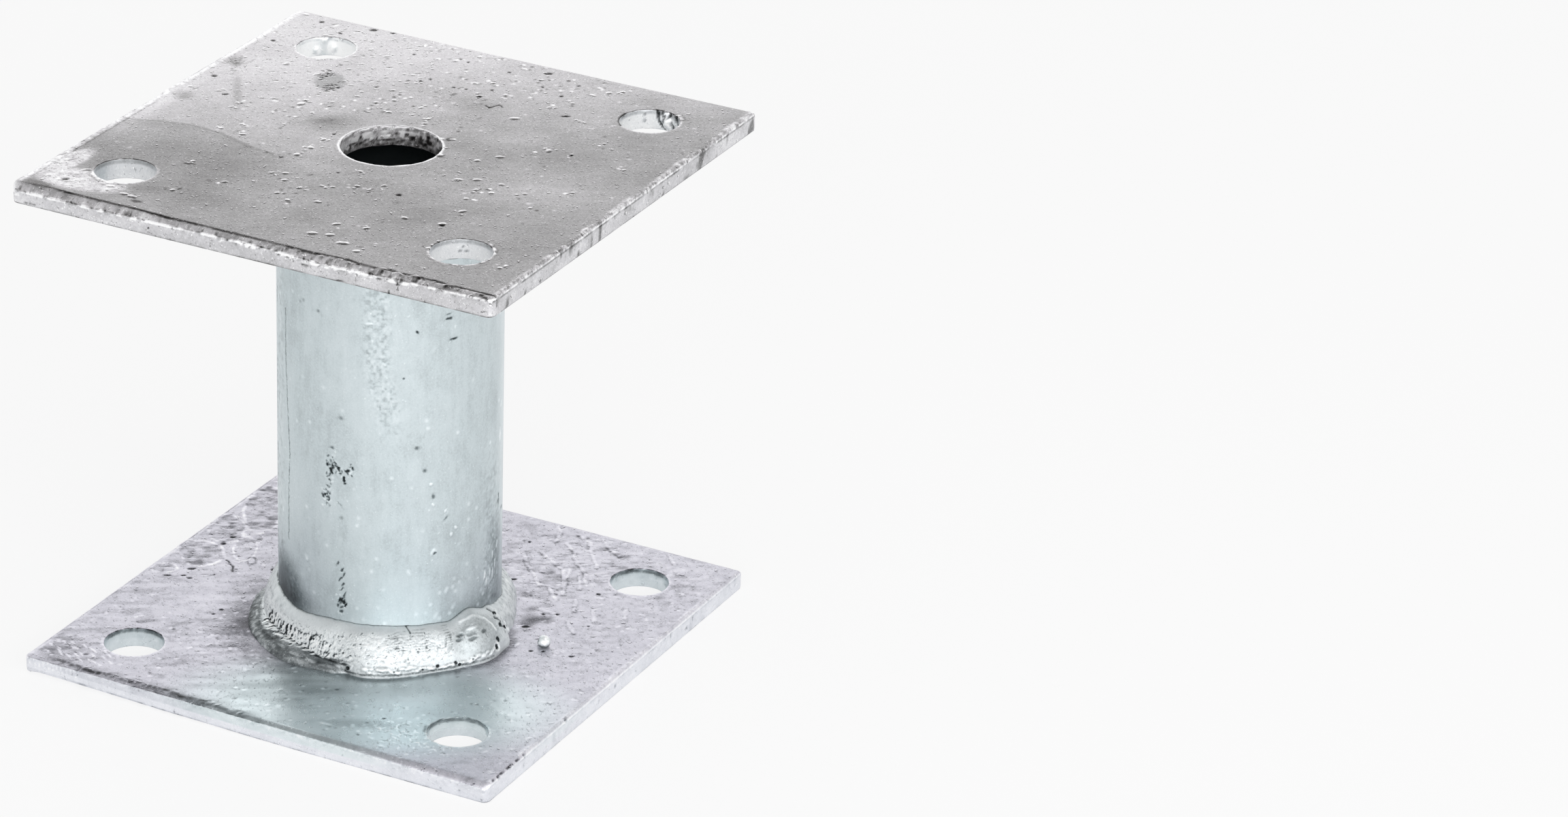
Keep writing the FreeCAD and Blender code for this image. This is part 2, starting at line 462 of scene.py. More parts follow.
def on_tube(angle, height):
    """A place on the flat tube skin."""
    return (math.radians(angle - TUBE_SEAM) * TUBE_RADIUS, height, 0.0)


def tube_piece(material, spots, dress):
    """The tube: a fine outer wall and a plain bore."""
    around = 2 * math.pi * TUBE_RADIUS
    columns = round(around / TUBE_SPACING)
    rows = round((TOP_UNDERSIDE - BASE_TOP) / TUBE_SPACING)
    xs = around * np.arange(columns + 1) / columns
    ys = np.linspace(BASE_TOP, TOP_UNDERSIDE, rows + 1)
    low = [(x, BASE_TOP) for x in xs[:-1]]
    right = [(around, y) for y in ys[:-1]]
    high = [(x, TOP_UNDERSIDE) for x in xs[:0:-1]]
    left = [(0.0, y) for y in ys[:0:-1]]
    rim = np.array(low + right + high + left)
    margin = TUBE_SPACING * 0.4
    flat_spots = [
        (*on_tube(angle, height)[:2], half_x, half_y) for angle, height, half_x, half_y in spots
    ]
    inside = spread(
        (margin, BASE_TOP + margin), (around - margin, TOP_UNDERSIDE - margin), TUBE_SPACING, TUBE_FINE,
        flat_spots
    )
    triangles, _ = triangles_over([rim], inside)
    flat = np.concatenate([rim, inside])
    # The flat skin's right side joins its left.
    joined = np.arange(len(flat))
    joined[columns] = 0
    for i in range(1, rows):
        joined[columns + i] = 2 * (columns + rows) - i
    joined[columns + rows] = 2 * columns + rows
    used = np.unique(joined)
    number = np.zeros(len(flat), int)
    number[used] = np.arange(len(used))
    faces = [tuple(t) for t in number[joined[triangles]].tolist()]
    flat = np.column_stack([flat[used], np.zeros(len(used))])
    turns = math.radians(TUBE_SEAM) + flat[:, 0] / TUBE_RADIUS
    skin = Skin(flat, 9)
    dress(skin, np.column_stack([TUBE_RADIUS * np.cos(turns), TUBE_RADIUS * np.sin(turns), flat[:, 1]]))
    radii = TUBE_RADIUS - TUBE_SKIN + skin.lift
    points = np.column_stack([radii * np.cos(turns), radii * np.sin(turns), flat[:, 1]])
    start = len(points)
    ends = []
    for height in (BASE_TOP, TOP_UNDERSIDE):
        ring = math.radians(TUBE_SEAM) + 2 * math.pi * np.arange(columns) / columns
        bore = TUBE_RADIUS - TUBE_WALL
        ends.append(np.column_stack([bore * np.cos(ring), bore * np.sin(ring), np.full(columns, height)]))
    faces += [face[::-1] for face in grid_faces(2, columns, start)]
    bottom = number[joined[np.arange(columns)]]
    top = number[joined[2 * columns + rows - np.arange(columns)]]
    for j in range(columns):
        k = (j + 1) % columns
        faces.append((start + j, start + k, int(bottom[k]), int(bottom[j])))
        faces.append((int(top[j]), int(top[k]), start + columns + k, start + columns + j))
    points = np.concatenate([points, *ends])
    # The points round the bore are painted dark, as painted shade inside the tube
    spare = np.zeros(len(points) - len(skin.tone))
    skin.tone = np.concatenate([skin.tone, spare - 0.6])
    skin.sheen = np.concatenate([skin.sheen, spare])
    return make_piece("tube_skin", points, faces, material, "tube", skin)


# Welds

WELD_COLUMNS = 1080
WELD_ROWS = 62
SEAT_DEPTH = 0.25

# Each pass: its height on the tube, reach over the plate and fullness, and stations round it of an
# angle and the shares of the height and the reach there
BASE_CAP = (8.0, 5.5, 1.45, (
    (-150, 1.01, 0.55), (-115, 0.90, 0.50), (-88, 1.01, 0.72), (-68, 1.00, 1.14), (-40, 0.97, 0.92),
    (-30, 0.93, 0.98), (-17, 1.10, 1.14), (-3, 0.90, 0.96), (10, 0.74, 0.50), (30, 0.58, 0.50),
    (58, 0.80, 0.84), (95, 0.98, 0.88), (130, 0.92, 0.96), (175, 1.02, 0.84),
))
BASE_ROOT = (2.4, 6.6, 1.8, (
    (-160, 0.80, 0.80), (-125, 0.95, 0.98), (-103, 1.00, 1.09), (-84, 0.95, 0.94), (-77, 0.80, 0.80),
    (-71, 0.45, 0.40), (-40, 0.40, 0.35), (140, 0.40, 0.35), (170, 0.45, 0.40),
))
TOP_PASS = (5.0, 5.0, 1.2, (
    (-150, 1.04, 0.98), (-80, 0.94, 1.04), (-20, 1.02, 0.94), (45, 0.96, 1.02), (110, 1.00, 1.00),
))


def eased_shares(stations, angles):
    """The height and reach shares at angles, eased between the stations on either side."""
    around = [*stations, (stations[0][0] + 360, *stations[0][1:])]
    places = np.array(around)
    turned_on = (np.asarray(angles) - places[0, 0]) % 360 + places[0, 0]
    index = np.clip(np.searchsorted(places[:, 0], turned_on, side="right") - 1, 0, len(places) - 2)
    share = (turned_on - places[index, 0]) / (places[index + 1, 0] - places[index, 0])
    ease = ((1 - np.cos(np.pi * share)) / 2)[:, None]
    return (places[index, 1:] * (1 - ease) + places[index + 1, 1:] * ease).T


def bead_distance(passes, angles, slopes):
    """How far the outmost pass stands out from the corner of tube and plate, at angles round the
    tube in degrees and slopes above the plate in radians."""
    outmost = np.zeros(len(angles))
    for height, reach, fullness, stations in passes:
        tall, wide = eased_shares(stations, angles)
        along = np.maximum(np.cos(slopes), 0) / (reach * wide)
        upward = np.sin(slopes) / (height * tall)
        outmost = np.maximum(outmost, (along**fullness + upward**fullness) ** (-1 / fullness))
    return outmost


def bead_places(passes, seat, up, angles, slopes, lift=0.0):
    """Places on a weld's skin."""
    far = bead_distance(passes, angles, slopes) + lift
    turns = np.radians(angles)
    out = TUBE_RADIUS - TUBE_SKIN + far * np.cos(slopes)
    return np.column_stack([out * np.cos(turns), out * np.sin(turns), seat + up * far * np.sin(slopes)])


def weld_piece(name, passes, seat, up, material, node, dress):
    """A weld round the tube: its skin, and a seat just inside the plate and the tube."""
    turn, slope = np.meshgrid(
        -180 + 360 * np.arange(WELD_COLUMNS) / WELD_COLUMNS, np.linspace(0, math.pi / 2, WELD_ROWS)
    )
    angles, slopes = turn.ravel(), slope.ravel()
    skin = Skin(bead_places(passes, seat, up, angles, slopes), 13, 0.08)
    dress(skin, angles, np.degrees(slopes))
    points = bead_places(passes, seat, up, angles, slopes, skin.lift)
    foot = points[:WELD_COLUMNS].copy()
    foot[:, 2] -= up * SEAT_DEPTH
    ring = np.radians(turn[0])
    inner = TUBE_RADIUS - TUBE_SKIN - SEAT_DEPTH
    corner = np.column_stack(
        [inner * np.cos(ring), inner * np.sin(ring), np.full(len(ring), seat - up * SEAT_DEPTH)]
    )
    crown = np.column_stack([inner * np.cos(ring), inner * np.sin(ring), points[-WELD_COLUMNS:, 2]])
    faces = grid_faces(WELD_ROWS, WELD_COLUMNS)
    first_crown = WELD_ROWS * WELD_COLUMNS
    rows = [
        first_crown - WELD_COLUMNS, first_crown, first_crown + WELD_COLUMNS,
        first_crown + 2 * WELD_COLUMNS, 0
    ]
    for a, b in zip(rows, rows[1:]):
        faces += [
            (
                a + j, a + (j + 1) % WELD_COLUMNS, b + (j + 1) % WELD_COLUMNS, b + j
            ) for j in range(WELD_COLUMNS)
        ]
    if up < 0:
        faces = [face[::-1] for face in faces]
    points = np.concatenate([points, crown, corner, foot])
    spare = np.zeros(3 * WELD_COLUMNS)
    skin.tone = np.concatenate([skin.tone, spare])
    skin.sheen = np.concatenate([skin.sheen, spare])
    return make_piece(name, points, faces, material, node, skin)


# Spatter

SPATTER_COLUMNS = 96
SPATTER_ROWS = 48
# How far the ball's foot reaches into the plate
SPATTER_SUNK = 0.5


def spatter_piece(material):
    """A ball of spatter, caught on the base plate and coated with it."""
    low, high = np.array(SPATTER_LOW), np.array(SPATTER_HIGH)
    middle = (low + high) / 2
    radius = (high[0] - low[0]) / 2
    middle[2] = high[2] - radius
    turn, tilt = np.meshgrid(
        2 * math.pi * np.arange(SPATTER_COLUMNS) / SPATTER_COLUMNS,
        np.linspace(-0.96, 0.999, SPATTER_ROWS)
    )
    rise = np.sin(tilt.ravel() * math.pi / 2)
    lean = np.sqrt(1 - rise**2)
    ways = np.column_stack([lean * np.cos(turn.ravel()), lean * np.sin(turn.ravel()), rise])
    skin = Skin(middle + ways * radius, 17, 0.2)
    skin.lift -= 0.04 + 0.10 * layered(skin.points, 0.9, 61)
    # Painted shade on one side of the ball, and a painted highlight near its top
    toward = np.array([math.cos(math.radians(210)), math.sin(math.radians(210)), 0.35])
    skin.spot(middle + toward * radius, 1.7, lift=-0.2, tone=-0.5)
    skin.spot(middle + np.array([0.35, 0.1, 0.9]) * radius, 1.3, lift=0.1, tone=0.3)
    # Lighter overall, with painted shade over its lower part
    skin.tone += 0.36 - 0.6 * smooth(rise, 0.15, -0.35) + 0.2 * layered(skin.points, 0.5, 62)
    points = middle + ways * (radius + skin.lift)[:, None]
    points[:, 2] = np.clip(points[:, 2], BASE_TOP - SPATTER_SUNK, high[2])
    faces = grid_faces(SPATTER_ROWS, SPATTER_COLUMNS)
    faces.append(tuple(range(SPATTER_COLUMNS))[::-1])
    faces.append(tuple(range(len(points) - SPATTER_COLUMNS, len(points))))
    return make_piece(
        "weld_spatter_ball", points, faces, material, "weld_spatter", skin
    )


# Galvanised steel

METALLIC = 0.75
# How far a small drop's painted light and shade sides lie from its middle, in millimetres
DROP_SHIFT = 0.14


def add(tree, kind, inputs=None, **settings):
    """A shader node with its settings, and its inputs either linked or set."""
    node = tree.nodes.new(kind)
    for name, value in settings.items():
        setattr(node, name, value)
    for name, value in (inputs or {}).items():
        if isinstance(value, bpy.types.NodeSocket):
            tree.links.new(value, node.inputs[name])
        else:
            node.inputs[name].default_value = value
    return node


def maths(tree, operation, a, b, c=0.0):
    """The result of a sum in the shader."""
    return add(tree, "ShaderNodeMath", {0: a, 1: b, 2: c}, operation=operation).outputs[0]


def eased(tree, value, low, high, to=1.0):
    """0 below low, and to above high."""
    settings = {"Value": value, "From Min": low, "From Max": high, "To Min": 0.0, "To Max": to}
    return add(tree, "ShaderNodeMapRange", settings, interpolation_type="SMOOTHSTEP").outputs[0]


def linear(red, green, blue):
    """A colour as the eye's scale of 0 to 255 gives it, in the renderer's linear values."""
    return tuple(
        ((c / 255 + 0.055) / 1.055) ** 2.4 if c > 10 else c / 255 / 12.92 for c in (red, green, blue)
    )


def ramp(tree, value, shades):
    """A colour ramp through evenly spaced shades."""
    node = add(tree, "ShaderNodeValToRGB", {"Fac": value})
    band = node.color_ramp
    while len(band.elements) < len(shades):
        band.elements.new(0.5)
    for i, (element, shade) in enumerate(zip(band.elements, shades)):
        element.position = i / (len(shades) - 1)
        element.color = (*linear(*shade), 1)
    return node.outputs["Color"]


def zinc(name, rough, smooth_zinc, roughness, mottle=0.3, grain=0.3, flecks=0.3, pits=0.25, streaks=0.2,
         drag=(0.12, 0.9, 0.9), drops=0.3, lumps=3.0, bump=0.03):
    """Galvanised steel. rough and smooth_zinc are its shades from dark to light where the skin's
    sheen is 0 and 1, and roughness the pair that goes with them. mottle, grain, flecks, pits and
    streaks are how strongly patches, fine grain, bright specks, dark specks and run marks show,
    drag is the run marks' scale along the level way, across it and upwards, drops is how strongly
    light and shade are painted on the two sides of small drops, lumps how tall they stand, and bump
    is in millimetres."""
    material = bpy.data.materials.new(name)
    material.use_nodes = True
    tree = material.node_tree
    shader = tree.nodes["Principled BSDF"]
    place = add(tree, "ShaderNodeTexCoord").outputs["Object"]
    scaled = add(tree, "ShaderNodeVectorMath", {0: place, "Scale": 1 / MM}, operation="SCALE").outputs[0]
    level = add(
        tree, "ShaderNodeVectorRotate", {"Vector": scaled, "Angle": -math.radians(LEVEL)},
        rotation_type="Z_AXIS"
    ).outputs[0]
    dragged = add(tree, "ShaderNodeVectorMath", {0: level, 1: drag}, operation="MULTIPLY").outputs[0]

    def texture(scale, detail, fade=0.6, where=scaled):
        return add(
            tree, "ShaderNodeTexNoise",
            {"Vector": where, "Scale": scale, "Detail": detail, "Roughness": fade}
        ).outputs["Fac"]

    broad = texture(0.06, 3.0)
    patch = texture(0.3, 4.0)
    fine = texture(2.4, 4.0, 0.7)
    speck = texture(2.8, 1.0)
    spot = texture(1.15, 2.0)
    shift = tuple(DROP_SHIFT * DOWN)
    sides = []
    for operation in ("ADD", "SUBTRACT"):
        beside = add(tree, "ShaderNodeVectorMath", {0: scaled, 1: shift}, operation=operation).outputs[0]
        large = eased(tree, texture(0.8, 2.0, 0.6, beside), 0.67, 0.72)
        small = eased(tree, texture(1.9, 2.0, 0.6, beside), 0.64, 0.70, 0.6)
        sides.append(maths(tree, "ADD", large, small))
    # The two sides of each small drop: painted highlight on the far side, painted shade on the near side
    painted_drop_light_and_shade = maths(tree, "SUBTRACT", sides[0], sides[1])
    lump = maths(tree, "ADD", sides[0], sides[1])
    run = texture(1.0, 5.0, 0.65, dragged)
    marks = add(tree, "ShaderNodeAttribute", attribute_name="tone").outputs["Fac"]
    sheen = add(tree, "ShaderNodeAttribute", attribute_name="sheen").outputs["Fac"]
    plain = maths(tree, "MULTIPLY_ADD", sheen, -0.65, 1.0)
    value = maths(tree, "MULTIPLY", maths(tree, "SUBTRACT", patch, 0.5), mottle)
    value = maths(tree, "MULTIPLY_ADD", maths(tree, "SUBTRACT", fine, 0.5), grain, value)
    value = maths(tree, "ADD", value, eased(tree, speck, 0.66, 0.74, flecks))
    value = maths(tree, "SUBTRACT", value, eased(tree, spot, 0.28, 0.22, pits))
    value = maths(tree, "MULTIPLY_ADD", maths(tree, "SUBTRACT", run, 0.5), streaks, value)
    # Painted light and shade on the sides of small drops
    value = maths(tree, "MULTIPLY_ADD", painted_drop_light_and_shade, drops, value)
    value = maths(tree, "MULTIPLY_ADD", value, plain, marks)
    value = maths(tree, "MULTIPLY_ADD", maths(tree, "SUBTRACT", broad, 0.5), mottle, value)
    value = maths(tree, "ADD", value, 0.5)
    # The mix's sockets of colour are its seventh and eighth, and its third result.
    shades = {0: sheen, 6: ramp(tree, value, rough), 7: ramp(tree, value, smooth_zinc)}
    colour = add(tree, "ShaderNodeMix", shades, data_type="RGBA").outputs[2]
    tree.links.new(colour, shader.inputs["Base Color"])
    shader.inputs["Metallic"].default_value = METALLIC
    rough_here = maths(tree, "MULTIPLY_ADD", sheen, roughness[1] - roughness[0], roughness[0])
    rough_here = maths(tree, "MULTIPLY_ADD", maths(tree, "SUBTRACT", patch, 0.5), 0.3, rough_here)
    tree.links.new(rough_here, shader.inputs["Roughness"])
    height = maths(tree, "MULTIPLY_ADD", run, 1.5, fine)
    height = maths(tree, "MULTIPLY_ADD", lump, lumps, height)
    height = maths(tree, "MULTIPLY", height, plain)
    normal = add(
        tree, "ShaderNodeBump", {"Height": height, "Distance": bump * MM, "Strength": 1.0}
    ).outputs["Normal"]
    tree.links.new(normal, shader.inputs["Normal"])
    return material


# Top plate

# The sheared edges' depth along -Y, as (x, depth), and along +Y
TOP_FRONT_DRAW = (
    (-50, 1.4), (-30, 1.4), (-15, 1.1), (-5, 0.85), (5, 0.9), (14, 1.35), (25, 1.0), (37, 0.6),
    (50, 0.35),
)
TOP_BACK_DRAW = ((-50, 0.5), (0, 0.9), (50, 0.6))
TOP_DRAW_WIDTH = 1.6

# Round drops of zinc, with painted light and shade on their sides (x, y, across)
TOP_DROPS = (
    (-12, -8.5, 1.5), (-12.5, -12.5, 1.4), (-12, -4, 1.1), (-24.5, 8.5, 1.3), (-24.5, 10.5, 1.1),
    (-20.5, 6, 0.9), (-19.5, 10.5, 1), (-13, 16.5, 1.1), (-10.5, 19, 1.1), (-4.5, 18.5, 1.2),
    (-8.5, 13.5, 1.1), (-0.5, 14.5, 1.1), (0, 12.3, 1.1), (-4, 14.7, 0.9), (-31, -9, 1), (-26, -9.5, 1.2),
    (-22, -1.5, 1), (-28, -5.5, 1), (-34, 3.5, 0.9), (1.5, -13.4, 1.2), (-4, -25.3, 1.2),
    (-1, -22.6, 1.1),
    (0.8, -22, 1), (8.4, -16.8, 1.3), (7, -19.8, 0.9), (4.4, -19.4, 1.1), (-8.3, -23.8, 1.1),
    (-6.4, -29.5, 1.3), (-3, -31.3, 1.3), (2, -29.2, 1.5), (10, -36, 1.5), (19, -27.4, 1.3),
    (26.3, -19.5, 1.3),
    (24, -14.2, 1.1), (23.5, -9.8, 1.2), (26.6, -9.6, 1.3), (26, 12.8, 1.7), (30.5, 13.4, 1.1),
    (24, 28, 1.1),
    (18.7, 35, 1), (16, 31, 1), (-12, -22, 1.1), (15.5, -34.8, 1.3), (19.2, -44.4, 1.4),
    (29.4, -36.8, 1.2),
    (44.3, -37.7, 1.3), (22, 43, 1.3), (24, 44.8, 1.3), (-23, -38, 1.1), (-17, -30, 1), (-27, -25, 1.1),
    (31, -8, 1), (36, -12, 1.1), (39, -2, 1), (33, 21, 1), (42, 12, 0.9), (8, 42, 1.1), (1, 36, 1),
)
# Longer drops, with painted light and shade on their sides (x, y, length, width, angle)
TOP_DASHES = (
    (-41.2, -38.2, 2.6, 1.0, 35), (8, 8, 2.8, 1.0, 40), (9.8, 0.6, 2.6, 1.6, 15),
    (8.4, -41.7, 2.6, 1.4, 25),
    (11.5, -40.7, 2.0, 1.3, 30), (15.3, -42.6, 3.0, 1.3, 20), (18.5, -7.5, 1.8, 1.1, 30),
    (21.5, -5.8, 2.2, 1.1, 30),
    (26.3, -5.4, 1.6, 1.1, 25), (17, 2, 1.6, 1.2, 30), (19.7, 5.6, 2.2, 1.3, 35), (13, 23, 2.4, 1.4, 30),
    (26, -26.3, 1.8, 1.3, 40), (-9.7, -21, 1.6, 1.0, 28), (-27.6, -44.2, 2.6, 1.2, 12),
    (-29.5, -44, 2.2, 1.1, 8),
    (-33.5, -42.3, 2.0, 1.0, 5),
)
# Pits (x, y, length, width)
TOP_PITS = (
    (-42.3, -43.6, 2.0, 1.2), (-45.6, 33, 1.2, 1.0), (-36.5, 42.8, 1.0, 0.8), (-32, 47.5, 2.2, 1.4),
    (-28, 48.2, 1.2, 1.0), (-39, 5.3, 1.8, 0.9), (-45.6, 12, 1.4, 1.2), (-19, 40.7, 0.8, 0.7),
    (-13.4, 29, 0.9, 0.8), (-11.2, 29.8, 0.8, 0.7), (-10, 31.6, 0.8, 0.7), (-11.7, -0.7, 1.0, 0.9),
    (12.8, -18.9, 1.5, 1.1), (26.4, -26.8, 1.0, 0.8), (20.6, 28.9, 2.4, 0.8), (9.9, 39.2, 0.9, 0.8),
    (15.4, 43.1, 0.9, 0.8), (15, 37.1, 1.0, 0.9), (7.5, 45.6, 2.2, 1.0), (1, 42.3, 0.8, 0.7),
    (-8.3, 42.7, 0.8, 0.7), (2, 28.9, 1.0, 0.8), (-4.3, 30.3, 1.1, 0.7), (-1.9, 30.8, 1.0, 0.7),
    (2.5, 32.9, 0.9, 0.7), (-14.3, -14.9, 0.9, 0.7), (7.2, 8.0, 1.6, 0.5), (10.5, 1.0, 0.8, 0.6),
    (30.5, 12.9, 1.0, 0.7), (-1.8, -15.8, 0.7, 0.6), (-42.5, 46, 1.4, 1.0),
)
# Smooth patches that are lighter or darker, partly stains and partly painted reflection (x, y, length,
# width, angle, tone)
TOP_PATCHES = (
    (-15, 4, 12, 18, -50, -0.14), (-40, -33, 16, 9, 30, -0.05), (24, -24, 42, 22, 40, -0.04),
    (36, -4, 36, 40, 0, 0.08),
    (-27, -40, 12, 6, 20, -0.08), (-15, -38, 26, 12, 10, -0.05), (38, 26, 24, 22, 0, -0.05),
    (3, 25, 12, 10, 0, -0.06),
    (18, 14, 20, 12, 30, 0.05), (-47, -4, 5, 50, 0, 0.10), (-8, -16, 22, 9, 0, 0.05),
    (30, 44, 16, 10, 0, -0.03),
)
# Where the zinc ran to on its left part (x, y)
TOP_RUN_LINE = (
    (-50, -14.6), (-46, -13.4), (-42, -11.6), (-36, -10.4), (-30, -10.9), (-24, -12.8), (-16, -15.2),
    (-6, -18)
)


def top_shape(points):
    """How far the top plate's edges are drawn down."""
    front = drawn(points, -1, TOP_FRONT_DRAW, TOP_DRAW_WIDTH, True)
    return -front - drawn(points, 1, TOP_BACK_DRAW, TOP_DRAW_WIDTH, True)


def faces_of(points, normals):
    """Which of a plate's points are on its outer sides, and in its holes."""
    outer = np.abs(points[:, :2]).max(axis=1) > PLATE_HALF - ROLLED_ROUND
    level = normals[:, 2] < 0.6
    return level & outer, level & ~outer & (points[:, 2] > 0)


def dress_plate(skin, normals, seed, rim):
    """The zinc that both plates have: an uneven skin, painted light that makes the sides and hole
    walls paler, and rough arrises, whose roughness along the sides of X is rim."""
    points = skin.points
    sides, walls = faces_of(points, normals)
    skin.lift += 0.03 * layered(points, 7.0, seed) + 0.015 * layered(points, 1.3, seed + 5)
    # Painted light: the sides and the hole walls are made paler
    skin.tone += 0.22 * sides + 0.34 * walls
    skin.sheen += 0.3 * sides + 0.85 * walls
    inset = PLATE_HALF - np.abs(points[:, 0])
    waver = noise(points, 5.0, seed + 15)
    rough = smooth(inset, 1.4 + 0.6 * waver, 0.7 + 0.5 * waver) * smooth(points[:, 2], 3.3, 3.5)
    crumbs = layered(
        np.column_stack([turned(points[:, :2], 27), 2 * points[:, 2]]), 0.55, seed + 9, 2, 0.8
    )
    skin.lift += rim * rough * 0.07 * crumbs
    skin.tone += rough * (0.2 + 0.12 * waver + 0.65 * rim * crumbs)
    below = smooth(np.abs(points[:, 2] - 3.2 - 0.1 * waver), 0.3, 0.05) * smooth(inset, 0.3, 0.1)
    skin.tone -= rim * below * (0.22 + 0.3 * noise(points, 1.5, seed + 16))
    smudges = layered(points * (1, 1, 0.35), 1.6, seed + 17, 2)
    skin.tone -= 0.4 * rim * smooth(smudges, 0.25, 0.5) * smooth(inset, 0.3, 0.1)
    inset = PLATE_HALF - np.abs(points[:, 1])
    crest = smooth(inset, 0.5, 0.1) * smooth(points[:, 2], 3.0, 3.4)
    skin.lift += crest * 0.05 * crumbs
    skin.tone += crest * 0.35 * crumbs
    lower = smooth(points[:, 2], 0.45, 0.15) * sides
    skin.tone += lower * (0.3 * layered(points, 1.6, seed + 12, 2) - 0.22)
    skin.tone += sides * (
        0.08 * layered(points, 5.0, seed + 13, 2) + 0.06 * layered(points, 0.8, seed + 14, 2)
    )
    for x, y, radius in HOLES:
        away = np.hypot(points[:, 0] - x, points[:, 1] - y) - radius
        lip = smooth(np.abs(away - 0.3), 0.45, 0.1) * (points[:, 2] > 3)
        skin.lift += lip * 0.05 * crumbs
        # Round each hole: painted light on the near side of its lip, and painted shade along its far rim
        across = ((points[:, 0] - x) * DOWN[0] + (points[:, 1] - y) * DOWN[1]) / radius
        skin.tone += lip * (0.10 + 0.30 * crumbs + 0.16 * smooth(across, -0.6, 0.6))
        skin.tone -= (
            0.28 * smooth(np.abs(away - 0.1), 0.3, 0.1) * smooth(across, 0.1, -0.6) * (points[:, 2] > 3)
        )


def on_wall(hole, radius, angle, height):
    """A place on a hole's wall."""
    turn = math.radians(angle)
    return (hole[0] + radius * math.cos(turn), hole[1] + radius * math.sin(turn), height)


def dress_top(skin, normals):
    """The top plate's marks."""
    points = skin.points
    top = PLATE_THICKNESS
    dress_plate(skin, normals, 101, 1.0)
    skin.ring((0, 0, top), 2 * CENTRE_RADIUS + 0.6, band=0.045, tall=40, lift=0.04, tone=0.4)
    # The patches: stains, and painted reflection
    for x, y, length, width, angle, tone in TOP_PATCHES:
        skin.spot((x, y, top), length, width, angle, tall=9, tone=tone, soft=0.95)
    # Painted reflection of the light from the back: brighter towards the back left, down to a line where
    # the zinc ran
    waver = layered(points, 9.0, 141)
    skin.tone += 0.27 * smooth(points[:, 1] - points[:, 0] + 10 * waver, -25, 75)
    below = np.interp(points[:, 0], *zip(*TOP_RUN_LINE)) + 0.8 * waver - points[:, 1]
    faded = smooth(points[:, 0], -6, -26)
    skin.tone -= 0.12 * smooth(below, -0.5, 1.2) * smooth(points[:, 1], -42, -26) * faded
    skin.tone -= 0.14 * smooth(np.abs(below), 0.7, 0.1) * faded

    # The band that the shear drew down: a thin dark line along its inner side, and a painted highlight
    # along its outer crest; the band is painted lighter where it is drawn deeper, against its shade
    inset = PLATE_HALF + points[:, 1]
    along = np.column_stack([points[:, 0], 0 * inset, 0 * inset])
    upper = points[:, 2] > 0.45 * PLATE_THICKNESS
    hatch = noise(along, 0.45, 154)
    line_at = 1.55 + 0.2 * noise(along, 6.0, 150) + 0.06 * hatch
    dark_line = smooth(np.abs(inset - line_at), 0.34, 0.08) * upper * smooth(points[:, 0], -48, -40)
    skin.tone -= dark_line * (0.42 + 0.2 * noise(along, 3.0, 151))
    skin.lift -= dark_line * 0.06
    band = smooth(inset - line_at, 0.05, -0.2) * upper * (points[:, 2] > 3.5)
    depth = np.interp(points[:, 0], *zip(*TOP_FRONT_DRAW))
    blotch = layered(points, 1.3, 152, 3, 0.7)
    skin.tone += band * (0.06 + 0.14 * depth + 0.3 * blotch - 0.12 * smooth(points[:, 0], -20, -40))
    # Painted highlight along the crest, broken into dashes with darker gaps
    crest = smooth(inset, 0.34, 0.2) * smooth(points[:, 2], 3.3, 3.55)
    dashes = smooth(noise(along, 1.7, 153) + 0.5 * hatch, -0.25, 0.15)
    skin.tone += crest * (0.42 * dashes - 0.2)
    specks = smooth(
        layered(points, 0.6, 155, 2), 0.22, 0.4
    ) * smooth(np.abs(inset - 0.5), 0.4, 0.1) * upper
    skin.tone -= 0.5 * specks
    # Flakes of zinc on the crest, with dark nicks between them
    flakes = np.random.default_rng(160)
    for x in np.arange(-6, 36, 0.42):
        place = (
            x + flakes.uniform(-0.3, 0.3), -49.95 + flakes.uniform(-0.1, 0.5),
            3.4 + flakes.uniform(-0.5, 0.5)
        )
        size = flakes.uniform(0.4, 1.0) * (1.3 if 20 < x < 33 else 1.0)
        if flakes.random() < 0.4:
            skin.spot(place, size, size * 0.7, 0, lift=-0.08, tone=-0.5)
        else:
            skin.spot(place, size * 1.5, size * 0.8, 0, lift=0.08, tone=0.42)
    for x in np.arange(8, 49, 0.9):
        place = (x + flakes.uniform(-0.5, 0.5), -48.9 + flakes.uniform(-0.4, 0.3), 3.9)
        size = flakes.uniform(0.4, 0.9)
        skin.drop(place, size * 1.6, size * 0.7, 10, flakes.choice((0.06, -0.06)), 0.4, 0.4)
    for x, y, length in (
        (27, -48.7, 3.4), (30.2, -48.9, 2.4), (33.6, -48.5, 2.8), (25, -49.5, 2.2), (31, -49.7, 2.6),
        (40.5, -48.7, 2.4)
    ):
        skin.drop((x, y, 3.8), length, 1.1, 6, 0.18, 0.7, 0.5)
    for x, length in ((28.5, 3.0), (38, 4.0), (20, 2.2), (34.5, 2.0)):
        skin.spot((x, -48.1, top), length, 0.5, 2, lift=-0.12, tone=-0.5)
    for x, z, length, tall in (
        (-46.7, 0.8, 0.9, 0.8), (-45.8, 0.8, 0.9, 0.8), (-44.9, 0.8, 0.8, 0.9), (12, 2.3, 2.4, 0.9),
        (-20.6, 2.1, 0.5, 0.9), (19, 0.3, 2.2, 0.4), (28.9, 0.4, 0.6, 1.6)
    ):
        skin.spot((x, -PLATE_HALF, z), length, 1.0, 0, tall=tall, lift=-0.12, tone=-0.45)
    skin.spot((-28.1, -PLATE_HALF, 0.1), 2.0, 1.0, 0, tall=0.8, lift=0.1, tone=-0.2)
    skin.spot((-45.0, -47.9, top), 9, 3.2, -8, tall=4.0, tone=-0.22)

